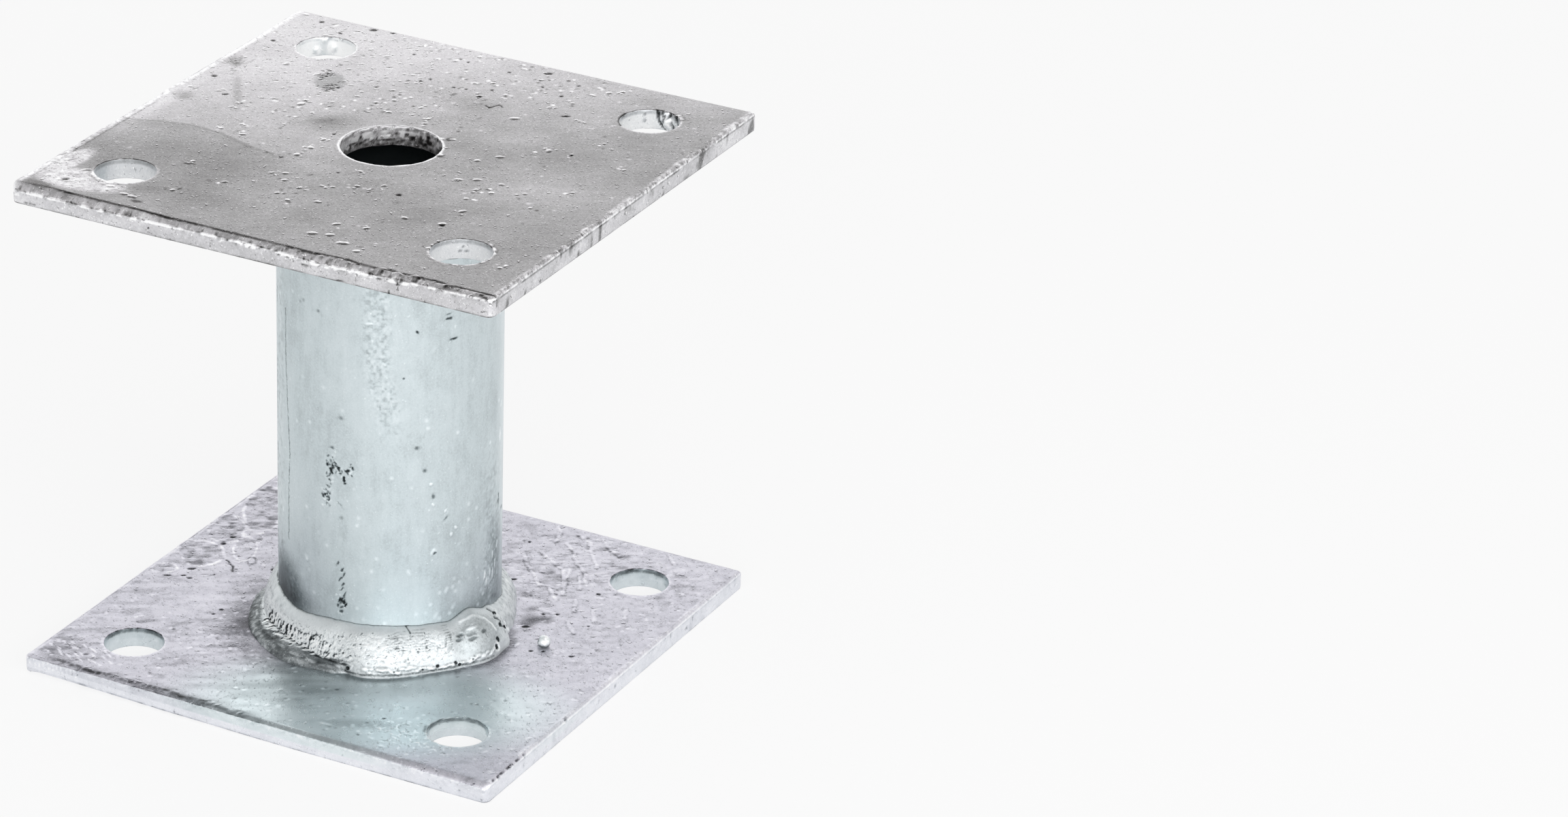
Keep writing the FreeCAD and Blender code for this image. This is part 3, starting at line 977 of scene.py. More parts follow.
    # The scaly patch in the left corner, and the rough fringe behind it
    flat = turned(points[:, :2], LEVEL)
    edge, own = cells(flat, (1.9, 0.95), 170)
    scaly = smooth(
        skin.share(slice(None), (-39.5, -42.5, top), 19, 9.5, 8, 2), 1.1, 0.75
    ) * smooth(inset, 1.6, 2.6)
    scaly = np.maximum(scaly, smooth(skin.share(slice(None), (-46.5, -37, top), 6, 16, 8, -8), 1.1, 0.7))
    skin.tone += scaly * (
        0.30 + 0.12 * (own - 0.5) - 0.12 * smooth(edge, 0.15, 0.02) + 0.2 * layered(points, 0.9, 173, 2)
    )
    skin.lift += scaly * (0.10 * (own - 0.4) - 0.06 * smooth(edge, 0.2, 0.02))
    fringe = smooth(PLATE_HALF + points[:, 0], 2.3, 1.0) * (points[:, 2] > 2)
    skin.tone += fringe * (0.22 + 0.35 * layered(points, 0.8, 172, 2))
    skin.line([(-48.1, y, top) for y in (-44, -30, -16, -4)], 0.45, lift=-0.04, tone=-0.22)

    # Stains in the back part
    skin.spot((-46.3, 20.5, top), 8.5, 4.5, LEVEL - 90, tone=-0.20, soft=0.9)
    for turn, start, end in (
        (-40, 2.4, 5.4), (-26, 1.2, 4.2), (-12, 2.0, 6.0), (0, 0.6, 4.6), (14, 1.5, 5.4), (30, 2.6, 5.0),
        (44, 3.0, 4.4)
    ):
        way = np.array(
            [math.cos(math.radians(LEVEL + 90 + turn)), math.sin(math.radians(LEVEL + 90 + turn)), 0.0]
        )
        skin.line(
            [(-44.2, 17.5, top) + start * way, (-44.2, 17.5, top) + end * way], 0.8, tone=-0.16, soft=1.0
        )
    skin.spot((-38.0, 8.0, top), 26, 2.6, LEVEL - 90, tone=-0.13, soft=0.9)
    skin.spot((-45.6, 1.0, top), 7, 5, LEVEL - 60, tone=-0.17, soft=0.8)
    skin.spot((-25.6, 20.8, top), 10.5, 7.2, LEVEL - 90, tone=-0.20, sheen=0.2, soft=0.35)
    skin.spot((-19.6, 10.5, top), 4.0, 3.0, LEVEL, tone=-0.10, soft=0.7)
    skin.spot((-16.3, 4.0, top), 7.2, 4.2, LEVEL, tone=-0.10, soft=0.9)
    crystals = np.random.default_rng(143)
    for middle in ((-27.4, 22.9), (-24.2, 18.6)):
        for _ in range(18):
            x, y = crystals.normal(middle, (0.8, 1.3))
            size = crystals.uniform(0.9, 2.4)
            skin.drop(
                (x, y, top), size, crystals.uniform(0.4, 0.6), crystals.uniform(-10, 110), -0.08, 0.5, 0.7
            )

    # Hairlines
    skin.line([(-22.8, -14, top), (-19, -14.1, top), (-14.5, -14.9, top)], 0.4, lift=-0.05, tone=-0.3)
    skin.line([(6.4, 15.2, top), (7.3, 11.6, top)], 0.3, tone=-0.25)
    skin.line([(7.4, 19.9, top), (6.4, 15.2, top)], 0.3, tone=-0.2)
    skin.line(
        [(5.2, 25.8, top), (6.4, 25.0, top), (7.2, 27.2, top), (8.4, 26.6, top)], 0.55, lift=-0.1,
        tone=-0.5
    )

    rng = np.random.default_rng(142)
    for _ in range(380):
        x, y = rng.uniform((-48, 0), (20, 48))
        if y > 0.9 * x + 22:
            length = rng.uniform(0.6, 2.2) * rng.uniform(0.6, 1)
            angle = LEVEL + rng.normal(0, 14)
            skin.drop(
                (x, y, top), length, rng.uniform(0.5, 0.8), angle, rng.choice((0.05, 0.05, -0.05)), 0.5,
                0.4
            )
    for x, y, across in TOP_DROPS:
        length = across * rng.uniform(0.8, 1.5)
        skin.drop(
            (x, y, top), length, across * rng.uniform(0.7, 1.0), LEVEL + rng.normal(0, 25), 0.06, 0.9, 0.5
        )
        for _ in range(3):
            turn = rng.uniform(0, 2 * math.pi)
            far = rng.uniform(0.7, 1.6) * across
            size = rng.uniform(0.35, 0.7)
            beside = (x + far * math.cos(turn), y + far * math.sin(turn), top)
            skin.drop(beside, size * rng.uniform(1, 2), size, LEVEL + rng.normal(0, 30), 0.04, 0.8, 0.5)
    for x, y, length, width, angle in TOP_DASHES:
        skin.drop((x, y, top), length, width, angle, 0.08, 0.9, 0.4)
    for x, y, length, width in TOP_PITS:
        skin.spot((x, y, top), length, width, LEVEL, lift=-0.18, tone=-0.62)
    scatter(skin, 170, 181, (-48, -46), (48, 48), top)

    # Round the holes
    for angle, size in (
        (225, 1.4), (236, 1.1), (250, 1.5), (262, 1.2), (275, 1.6), (288, 1.2), (300, 1.4)
    ):
        skin.spot(
            on_wall(LEFT, BOLT_RADIUS + 0.3, angle, top), size * 1.5, size, angle + 90, lift=0.14,
            tone=0.34, foot=0.11
        )
    skin.spot((-25.8, -45.6, top), 3.0, 1.3, 10, lift=-0.08, tone=-0.34)
    for angle, height, size, tall in (
        (84, 2.6, 2.6, 4.4), (78, 1.6, 2.2, 3.6), (90, 3.0, 1.6, 3.0), (60, 3.0, 1.6, 3.0)
    ):
        skin.spot(
            on_wall(RIGHT, BOLT_RADIUS, angle, height), size, size, angle, tall=tall, lift=0.6, tone=0.14
        )
    for run in (
        ((104, 4.0), (100, 3.0), (102, 2.2), (93, 0.9), (86, 0.3)), ((92, 4.0), (84, 3.0), (86, 2.0)),
        ((66, 4.0), (64, 2.9), (69, 1.8), (66, 0.8)), ((74, 3.6), (76, 2.6)), ((54, 3.9), (50, 2.4))
    ):
        skin.line(
            [on_wall(RIGHT, BOLT_RADIUS, angle, height) for angle, height in run], 0.75, lift=-0.25,
            tone=-0.8
        )
    for angle, height in ((38, 4.0), (46, 3.9), (55, 4.0)):
        skin.spot(
            on_wall(RIGHT, BOLT_RADIUS + 0.5, angle, height), 1.5, 1.0, angle, lift=0.14, tone=0.36,
            foot=0.14
        )
    skin.line(
        [on_wall(RIGHT, BOLT_RADIUS + 0.2, angle, top) for angle in (170, 190, 210, 232)], 0.9,
        lift=-0.12, tone=-0.6
    )
    for angle, height in ((128, 3.0), (128, 1.8)):
        skin.spot(on_wall(RIGHT, BOLT_RADIUS, angle, height), 0.8, 0.8, angle, lift=0.2, tone=-0.4)
    for angle, height in ((116, 2.4), (110, 1.6), (122, 1.7)):
        skin.spot(on_wall(FRONT, BOLT_RADIUS, angle, height), 0.8, 0.8, angle, lift=0.12, tone=-0.45)
    for angle, size in ((40, 1.6), (60, 1.3), (20, 1.2), (-20, 1.2), (-70, 1.2), (-120, 1.3)):
        skin.spot(
            on_wall(FRONT, BOLT_RADIUS + 0.4, angle, top), size * 1.5, size * 0.7, angle + 90, lift=0.12,
            tone=0.32, foot=0.10
        )
    for angle, height, size in ((108, 1.6, 2.0), (140, 1.2, 1.6), (124, 3.2, 1.2)):
        skin.spot(
            on_wall(BACK, BOLT_RADIUS, angle, height), size, size, angle, lift=0.3, tone=0.15, foot=0.08
        )
    skin.spot(on_wall(BACK, BOLT_RADIUS + 0.2, -68, top), 3.4, 0.9, 22, lift=0.1, tone=0.3, foot=0.08)
    _, walls = faces_of(points, normals)
    inner = walls & (np.hypot(points[:, 0], points[:, 1]) < CENTRE_RADIUS + 0.5)
    crinkled = layered(points * (1, 1, 1.6), 0.9, 190, 3, 0.7)
    torn = points[:, 2] + 1.6 * noise(points, 2.4, 191) + crinkled
    # Painted shade inside the centre hole, darker further down, with a lighter crinkled band near its top
    skin.sheen -= inner
    skin.tone += inner * (
        0.9 * crinkled - 0.42 + 0.26 * smooth(torn, 2.0, 2.4) - 0.35 * smooth(torn, 2.4, 1.9)
    )
    skin.lift += inner * 0.12 * crinkled
    skin.spot(
        on_wall((0, 0), CENTRE_RADIUS + 0.7, 50, top), 3.0, 1.2, 45, lift=0.15, tone=0.35, foot=0.14
    )


def scatter(skin, count, seed, low, high, height):
    """Small stray drops and pits."""
    rng = np.random.default_rng(seed)
    for _ in range(count):
        x, y = rng.uniform(low, high)
        size = 0.35 + 0.6 * rng.random() ** 3
        sign = rng.choice((-1.0, 1.0), p=(0.4, 0.6))
        skin.spot(
            (x, y, height), size * rng.uniform(1, 1.6), size, LEVEL, lift=0.07 * sign, tone=0.26 * sign
        )


# Base plate

BASE_FRONT_DRAW = ((-50, 0.1), (-20, 0.15), (0, 0.35), (20, 0.55), (40, 0.85), (50, 0.95))
BASE_BACK_DRAW = ((-50, 0.6), (50, 0.6))
# Its lower edge is drawn up near the left corner
BASE_LOWER_DRAW = (
    (-50, 1.5), (-40, 1.25), (-30, 0.9), (-20, 0.5), (-10, 0.35), (0, 0.1), (10, 0.0), (50, 0.0)
)
BASE_DRAW_WIDTH = 1.3

# Smooth patches that are lighter or darker (x, y, length, width, angle, tone)
# The first four, in front of the tube, are a painted reflection of it; the fifth is painted shade
BASE_PATCHES = (
    (-2, -37, 34, 20, 25, -0.12), (6, -33, 16, 8, 20, -0.08), (19, -41, 24, 6, 25, -0.14),
    (22, -28, 24, 9, 40, 0.08), (-19, -16, 9, 26, -32, -0.22),
    (-20, -28, 14, 5, 40, -0.10), (-36, -38, 14, 3, 65, -0.10), (-32, -25, 8, 2.2, 45, -0.08),
    (-38.3, -27.3, 9, 2.4, 32, -0.16),
    (-44, -41, 10, 7, 20, -0.10), (6, 45, 7, 6, 0, -0.08), (19.6, 28.2, 6, 8, 30, -0.08),
    (18.5, 19.5, 5, 8, -50, -0.14),
    (22.5, 14.5, 4, 6, -40, -0.16), (26.5, 12, 6.5, 5, 30, -0.26), (-30, -12, 26, 14, 40, 0.06),
    (42, 44, 20, 12, 0, 0.05),
)
# Islands of greyer, grainy zinc in the back left part (x, y, length, width, angle)
BASE_ISLANDS = (
    (-43.5, 2.5, 8, 10.5, 32), (-45.2, 14, 7.5, 12, 32), (-37.6, 8.4, 4.6, 10, 26),
    (-47.4, 3.3, 4, 7, 32),
    (-46.6, -6.3, 5, 4, 32), (-43.4, 25, 8, 20, 25), (-37.3, 13.4, 1.1, 3.4, 24), (-36.6, 26, 7, 26, 32),
)
BASE_PITS = (
    (25.2, 7.6, 1.8, 1.0), (31, -0.5, 1.2, 0.9), (33, 0.6, 0.9, 0.8), (38.6, 1.4, 1.6, 0.9),
    (30.7, 26.4, 1.1, 0.9),
    (32.7, -24, 0.8, 0.6), (25.6, 13.9, 1.1, 0.9), (27.9, 15.1, 1.1, 0.9), (-28.4, -17.8, 0.8, 0.6),
    (-28, -15.5, 1.0, 0.8),
    (20.7, -37.4, 0.8, 0.6), (-42, -3.8, 2.4, 1.2), (8.3, 39.3, 0.9, 0.8), (24, 43.4, 0.7, 0.6),
    (35.4, 13.8, 0.8, 0.6),
    (13.5, 23.6, 2.0, 0.8), (-42.4, 8.2, 1.6, 0.7), (-42.4, 11.7, 1.4, 0.9), (-44.6, -8.6, 2.2, 0.7),
    (-41.8, -7, 1.4, 0.7),
    (-40.3, -7.4, 1.4, 0.8), (-28, 3.8, 2.0, 2.4),
)
# Veins of light zinc on the base's right part, as runs of (x, y)
BASE_VEINS = (
    ((12.3, 36.8), (19.7, 32), (23.3, 26.4), (23.5, 24.2)),
    ((10, 33.8), (14.4, 28.9), (18.8, 24.4), (23, 24.6)),
    ((14.9, 42.4), (17.8, 40), (19.2, 37.4), (24, 33.2), (27.1, 28.3)),
    ((20.8, 32.6), (23.4, 26.1), (24.6, 23.1)),
    ((23.4, 31.8), (26.5, 26.6)), ((8.5, 50), (11.3, 46.2), (12.8, 41.9)),
    ((15.5, 46.6), (18.8, 44.7), (22.1, 39.8), (25.1, 36.2)),
    ((20.4, 47.1), (23.8, 44.2), (26.4, 42.7)), ((20.7, 24.5), (24.9, 20.1)),
    ((24.1, 15.3), (27.5, 15.1)),
    ((31, 13.5), (34.4, 9.9)), ((34.5, 48.2), (37.4, 44.8)), ((28, 22), (30, 18)), ((33, 20), (35.5, 16)),
    ((38, 24), (40, 20)),
)


def base_shape(points):
    """How far the base plate's edges are drawn."""
    front = drawn(points, -1, BASE_FRONT_DRAW, BASE_DRAW_WIDTH, True)
    back = drawn(points, 1, BASE_BACK_DRAW, BASE_DRAW_WIDTH, True)
    return drawn(points, -1, BASE_LOWER_DRAW, BASE_DRAW_WIDTH, False) - front - back


def dress_base(skin, normals):
    """The base plate's marks."""
    points = skin.points
    top = PLATE_THICKNESS
    dress_plate(skin, normals, 201, 0.4)
    flat = turned(points[:, :2], LEVEL)
    upper = points[:, 2] > 0.45 * PLATE_THICKNESS
    # Patches, some of them painted reflection and painted shade
    for x, y, length, width, angle, tone in BASE_PATCHES:
        skin.spot((x, y, top), length, width, angle, tall=9, tone=tone, soft=0.95)
    # The front is smooth, and mirrors the tube
    front = smooth(skin.share(slice(None), (16, -34, top), 74, 40, 20, 24), 1.2, 0.6)
    skin.sheen += front * upper
    rough = (1 - front) * upper
    sparkle = layered(np.column_stack([flat / (1.3, 0.8), points[:, 2]]), 1.0, 240, 2)
    skin.tone += rough * 0.09 * sparkle
    skin.lift += rough * 0.03 * sparkle
    # Painted shade next to the weld's toe, and a wider painted shade beside the weld's left side
    angles = np.degrees(np.arctan2(points[:, 1], points[:, 0]))
    toe = TUBE_RADIUS + bead_distance((BASE_CAP, BASE_ROOT), angles, np.zeros(len(angles)))
    away = np.hypot(points[:, 0], points[:, 1]) - toe
    skin.tone -= 0.26 * smooth(away, 2.6, 0.2) * upper * smooth(np.abs(angles + 35), 55, 35)
    skin.tone -= 0.16 * smooth(away, 9, 0) * upper * smooth(np.abs(angles + 130), 60, 30)

    # Islands of greyer zinc, with light borders and dark crumbs along them
    crumbs = layered(np.column_stack([flat / (1.5, 0.8), points[:, 2]]), 1.0, 255, 2)
    far = np.min([
        skin.share(slice(None), (x, y, top), length, width, 8, angle)
        for x, y, length, width, angle in BASE_ISLANDS
    ], axis=0) + 0.10 * noise(points, 1.6, 251)
    inside = smooth(far, 1.0, 0.9) * upper
    border = smooth(np.abs(far - 1), 0.13, 0.03) * upper
    skin.tone += inside * (-0.07 + 0.2 * crumbs) + border * (0.16 + 0.5 * crumbs)
    skin.lift += 0.04 * inside * crumbs + 0.06 * border
    skin.ring((-33.8, 4.8, top), 1.6, 3.0, 26, band=0.4, lift=0.06, tone=-0.3)
    skin.line([(-38.1, 2.6, top), (-35.5, 0.8, top), (-34.4, -1.6, top)], 0.7, lift=-0.1, tone=-0.45)
    # Light veins with crumbly borders, each with a line of painted shade beside it on its near side
    bent = skin.bent[:, :2] + 0.3 * np.column_stack([noise(points, 1.6, 256), noise(points, 1.6, 257)])
    for width, shift, tone, lift in ((0.8, -0.4, -0.13, 0), (0.5, 0, 0.22, 0.05)):
        far = np.min(
            [run_distance(bent, np.array(vein) - shift * DOWN[:2]) for vein in BASE_VEINS], axis=0
        )
        vein = smooth(far, width, 0.4 * width) * upper
        skin.tone += vein * (tone + 0.1 * crumbs)
        skin.lift += lift * vein
    back_right = smooth(skin.share(slice(None), (22, 34, top), 60, 34, 9, 25), 1.15, 0.7) * upper
    skin.tone += back_right * 0.16 * crumbs

    # A dark smear along the front edge's left half, and the torn edge near the front corner
    inset = PLATE_HALF + points[:, 1]
    along = smooth(points[:, 0], -50, -38) * smooth(points[:, 0], 6, -14)
    skin.tone -= smooth(inset, 4.5, 1.2) * upper * along * 0.14
    line = smooth(np.abs(inset - 1.3 - 0.3 * noise(points, 4.0, 260)), 0.9, 0.1) * upper
    skin.tone -= line * (0.08 + 0.4 * np.abs(noise(points, 1.0, 261))) * (0.15 + 0.85 * along)
    for k in range(26):
        x = -48 + 0.55 * k
        skin.spot((x, -43.6 + 2.6 * math.sin(2.4 * k), top), 2.4, 0.55, LEVEL - 62, lift=0.05, tone=0.34)
    skin.spot((-46, -46.6, top), 9, 5, -12, tall=3, tone=-0.10)
    skin.spot((-42, -44.5, top), 17, 8, 4, tall=3, tone=-0.10)
    for x in range(-49, -38):
        skin.line([(x + 0.4, -PLATE_HALF, 3.6), (x + 0.7, -PLATE_HALF, 1.6)], 0.35, lift=0.04, tone=0.22)
    for y, length in (
        (-47.4, 1.6), (-45.6, 1.4), (-44.2, 2.6), (-41.6, 3.0), (-38.4, 2.4), (-36.2, 1.4), (-20.6, 1.6)
    ):
        skin.spot((PLATE_HALF - 0.4, y, top - 0.3), 1.0, length, 0, tall=1.2, lift=-0.25, tone=-0.5)
    for x, z, size in (
        (43.9, 1.5, 1.0), (19.4, 1.9, 0.7), (-38, 2.4, 0.6), (-31, 1.8, 0.5), (49.0, 3.0, 0.9),
        (48.6, 0.6, 1.0)
    ):
        skin.spot((x, -PLATE_HALF, z), size * 0.7, 1.0, 0, tall=size, lift=-0.08, tone=-0.3)
    for y, z, length in ((28.9, 2.6, 0.9), (26.5, 1.6, 1.2), (20, 2.8, 0.8), (-2, 2.2, 0.9)):
        skin.spot((PLATE_HALF, y, z), 1.0, length, 0, tall=1.4, lift=-0.1, tone=-0.35)

    # The hole walls: painted shade, darker towards their upper end
    walls = faces_of(points, normals)[1]
    skin.tone -= walls * (
        0.20 + 0.16 * smooth(points[:, 2], 1.8, 3.4) + 0.1 * layered(points, 1.0, 262, 2)
    )
    # By the weld and the spatter
    skin.spot((25, 9.2, top), 11, 5, -66, tone=-0.24, soft=0.9)
    skin.spot((27.5, 0.2, top), 1.0, 2.6, 10, lift=0.25, tone=0.3)
    skin.spot((31.6, 2.9, top), 3.6, 3.2, 0, lift=0.3, tone=0.05)
    skin.spot((30.4, 4.6, top), 3.4, 1.2, LEVEL, tone=-0.3)
    for x, y in ((-2, -44.5), (1.2, -45.4), (-0.5, -43.6)):
        skin.spot((x, y, top), 1.0, lift=0.10, tone=0.3)
    left_side = smooth(flat[:, 0], 0, -24) * upper
    skin.tone += left_side * 0.10 * layered(
        np.column_stack([flat / (7.0, 1.2), points[:, 2]]), 1.0, 263, 2
    )
    rng = np.random.default_rng(271)
    for _ in range(420):
        x, y = rng.uniform(-49, 49, 2)
        size = rng.uniform(0.5, 0.9)
        skin.drop((x, y, top), size * rng.uniform(1.2, 3), size, LEVEL + rng.normal(0, 14),
                  lift=rng.choice((-0.05, 0.06)), light=0.32, dark=0.14)
    # Short light strokes, by the front hole and over the right part
    rng = np.random.default_rng(270)
    for count, middle, spread_by, strength in (
        (150, (27, -41.5), (6, 2.6), 0.30), (110, (36, 2), (9, 16), 0.16), (60, (-24, -27), (9, 5), 0.16)
    ):
        for _ in range(count):
            x, y = rng.normal(middle, spread_by)
            size = rng.uniform(0.35, 0.6)
            sign = rng.choice((-0.6, 1.0), p=(0.25, 0.75))
            turn = LEVEL + rng.choice((0, -60, -90)) + rng.normal(0, 15)
            skin.spot(
                (x, y, top), size * rng.uniform(1.5, 4), size, turn, lift=0.05 * sign,
                tone=strength * sign
            )
    for x, y, length, width in BASE_PITS:
        skin.spot((x, y, top), length, width, LEVEL, lift=-0.15, tone=-0.6)
    scatter(skin, 260, 281, (-48, -46), (48, 48), top)
    # Painted shade along the holes' rims, on their far and left sides
    skin.line(
        [on_wall(FRONT, BOLT_RADIUS + 0.5, angle, top) for angle in (190, 205, 220)], 1.3, tone=-0.25
    )
    skin.line(
        [on_wall(LEFT, BOLT_RADIUS + 0.1, angle, top) for angle in (60, 85, 110, 135, 160)], 0.5,
        tone=-0.35
    )
    skin.line([on_wall(RIGHT, BOLT_RADIUS + 0.1, angle, top) for angle in (70, 95, 120)], 0.5, tone=-0.3)


# Tube marks

def dress_tube(skin, solid):
    """The tube's marks, placed by (angle, height)."""
    skin.lift += 0.012 * layered(solid, 9.0, 301) + 0.006 * layered(solid, 1.2, 305)
    skin.tone += 0.06 * layered(solid * (1, 1, 0.35), 6.0, 309)
    angles = TUBE_SEAM + np.degrees(skin.points[:, 0] / TUBE_RADIUS)
    height = skin.points[:, 1]
    # Rough grain left of the highlight, and at both borders
    flecks = layered(skin.points, 0.5, 311, 2)
    middle = -66 + 7 * smooth(height, 66, 50)
    rough = smooth(np.abs(angles - middle), 10, 3) * smooth(height, 44, 60)
    rough = np.maximum(rough, 0.8 * smooth(np.abs(angles + 142), 20, 8))
    rough = np.maximum(rough, 0.7 * smooth(np.abs(angles - 6), 16, 6) * smooth(height, 52, 30))
    skin.lift += rough * 0.02 * flecks
    skin.tone += rough * 0.18 * flecks
    skin.line([
        on_tube(*place) for place in (
            (-125.1, 71), (-125.4, 62), (-123.6, 52), (-121.3, 42), (-122.8, 33), (-123, 24)
        )
    ], 0.45, lift=-0.04, tone=-0.3)
    # The scar in the middle of the tube
    rng = np.random.default_rng(320)
    scar = (
        (-90, 45.5, -93.4, 34.3, 1.0, 90), (-87, 43.6, -82.8, 40.4, 0.4, 26),
        (-84, 42.6, -79, 43.8, 0.5, 18), (-83, 43.4, -78.6, 42.0, 0.4, 12),
        (-89, 44.5, -86.5, 41.4, 0.6, 16), (-95, 38, -92, 36, 0.9, 26)
    )
    for start_angle, start, end_angle, end, scatter_by, count in scar:
        for _ in range(count):
            share = rng.random()
            angle = start_angle + (end_angle - start_angle) * share + rng.normal(0, scatter_by * 1.3)
            z = start + (end - start) * share + rng.normal(0, scatter_by * 0.5)
            dark = rng.random() < 0.62
            size = rng.uniform(0.35, 0.75)
            skin.spot(on_tube(angle, z), size * 1.5, size, rng.choice((45, 70, -50)),
                      lift=-0.05 if dark else 0.05, tone=-0.30 if dark else 0.12)
    chain = (
        (-86.7, 23.6), (-84.8, 22.6), (-83.4, 21.6), (-84.4, 20.6), (-83.8, 19.4), (-84.6, 18.4),
        (-83.2, 17.4), (-85.2, 16.4)
    )
    for angle, z in chain:
        length = rng.uniform(1.3, 2.3)
        skin.spot(
            on_tube(angle + rng.normal(0, 0.5), z), length, 0.5, rng.uniform(40, 70), lift=-0.06,
            tone=-0.45
        )
    for angle, z, length, width, turn, tone in (
        (-109.4, 74.9, 1.4, 0.45, 20, -0.35), (-98, 73.9, 2.4, 0.4, -12, -0.3),
        (-70, 73.3, 2.6, 0.5, 4, 0.2),
        (-77.9, 77.7, 0.7, 0.6, 0, -0.4), (-46.2, 71.7, 0.9, 0.8, 0, -0.6),
        (-53.3, 62.5, 0.6, 0.6, 0, -0.4),
        (-29, 73.4, 2.0, 0.6, 8, -0.5), (-29.4, 74.4, 1.6, 0.4, 14, -0.3),
        (-26.6, 69.1, 2.4, 0.6, 6, -0.5),
        (-85, 53.8, 1.8, 0.6, 4, -0.32), (-89.9, 47.2, 1.2, 0.4, -12, -0.4),
        (-43.6, 50.2, 0.9, 0.7, 0, -0.35),
        (-45.7, 48.2, 0.9, 0.8, 20, -0.4), (-52.3, 46.9, 0.7, 0.5, 0, -0.25),
        (-42.1, 43.6, 1.0, 0.8, -40, -0.35),
        (-38.6, 40.5, 0.9, 0.9, 0, 0.3), (-37.5, 37.9, 1.4, 1.0, 90, -0.3),
        (-37.8, 36.2, 1.0, 0.8, 90, 0.3),
        (-30.7, 34.6, 1.5, 0.5, 50, 0.3), (-30.6, 32.9, 1.5, 0.5, 45, -0.25),
        (-24.5, 30.5, 1.0, 0.8, 0, 0.35),
        (-27, 29.2, 1.1, 0.8, 60, 0.3), (-85.5, 33.3, 0.6, 0.5, 0, -0.3),
        (-107, 22.5, 2.0, 0.4, -60, 0.3),
        (-85.7, 36, 2.2, 0.3, -45, -0.2), (13.4, 31, 3.4, 0.8, 85, -0.4), (20, 28, 1.3, 1.2, 0, -0.5),
        (15, 44, 4.0, 1.2, 90, 0.3), (17, 50, 2.0, 1.0, 90, 0.25), (-15, 56, 0.7, 0.5, 0, -0.2),
    ):
        skin.spot(
            on_tube(angle, z), length, width, turn, lift=0.08 if tone > 0 else -0.07, tone=tone, foot=0.04
        )
    skin.spot(on_tube(-37.3, 26.3), 2.0, 1.2, 50, lift=0.08, tone=0.2)
    skin.spot(on_tube(-36.6, 26.1), 1.3, 0.6, 50, lift=-0.05, tone=-0.5)
    for angle, z in ((-3, 17.5), (-1, 16), (2, 17.4), (5.5, 16.6), (8, 18.5), (5, 20.5), (11, 22)):
        skin.spot(on_tube(angle, z), 3.0, 0.7, 80, lift=0.10, tone=0.3, foot=0.04)
    skin.tone -= 0.30 * smooth(
        np.hypot((angles + 127) / 27, (height - 14) / 9), 1.0, 0.2
    ) * (1 + 0.3 * flecks)
    # Painted shade low on the tube, just above the weld's crown, except at the front
    skin.tone -= 0.16 * smooth(height, 17, 11.5) * smooth(np.abs(angles + 64), 20, 50)
    # Painted highlights along the tube's left and right borders, with a thin broken line inside the left
    # one
    skin.tone += 0.18 * smooth(np.abs(angles + 151), 11, 3) + 0.10 * smooth(np.abs(angles - 23), 14, 3)
    broken = noise(skin.points * (0, 1, 0), 3.0, 312)
    skin.tone -= 0.3 * smooth(np.abs(angles + 141.5 + 0.6 * broken), 1.1, 0.2) * smooth(broken, -0.3, 0.1)
    for _ in range(14):
        spot = on_tube(-84.2 + rng.normal(0, 1.6), 15.2 + rng.normal(0, 0.5))
        skin.spot(spot, rng.uniform(0.8, 1.5), 0.6, rng.uniform(0, 90), lift=-0.08, tone=-0.4)
    # More painted shade low on the tube's right side, near the weld
    skin.tone -= 0.10 * smooth(np.hypot((angles - 10) / 14, (height - 22) / 10), 1.0, 0.3)
    rng = np.random.default_rng(330)
    for _ in range(420):
        angle, z = rng.uniform(-160, 40), 13 + 83 * rng.random()
        size = 0.22 + 0.35 * rng.random() ** 2
        skin.spot(
            on_tube(angle, z), size * rng.uniform(1, 2.2), size, rng.uniform(40, 90), lift=0.04, tone=0.22
        )
    for _ in range(260):
        angle, z = rng.uniform(-120, 10), 12 + 14 * rng.random() ** 1.5
        size = rng.uniform(0.22, 0.42)
        skin.spot(on_tube(angle, z), size * 1.4, size, rng.uniform(40, 90), lift=0.04, tone=0.24)


# Welds' marks

def on_bead(passes, seat, up, angle, slope):
    """A place on a weld's skin, with the slope in degrees."""
    return bead_places(passes, seat, up, np.array([float(angle)]), np.radians([float(slope)]))[0]


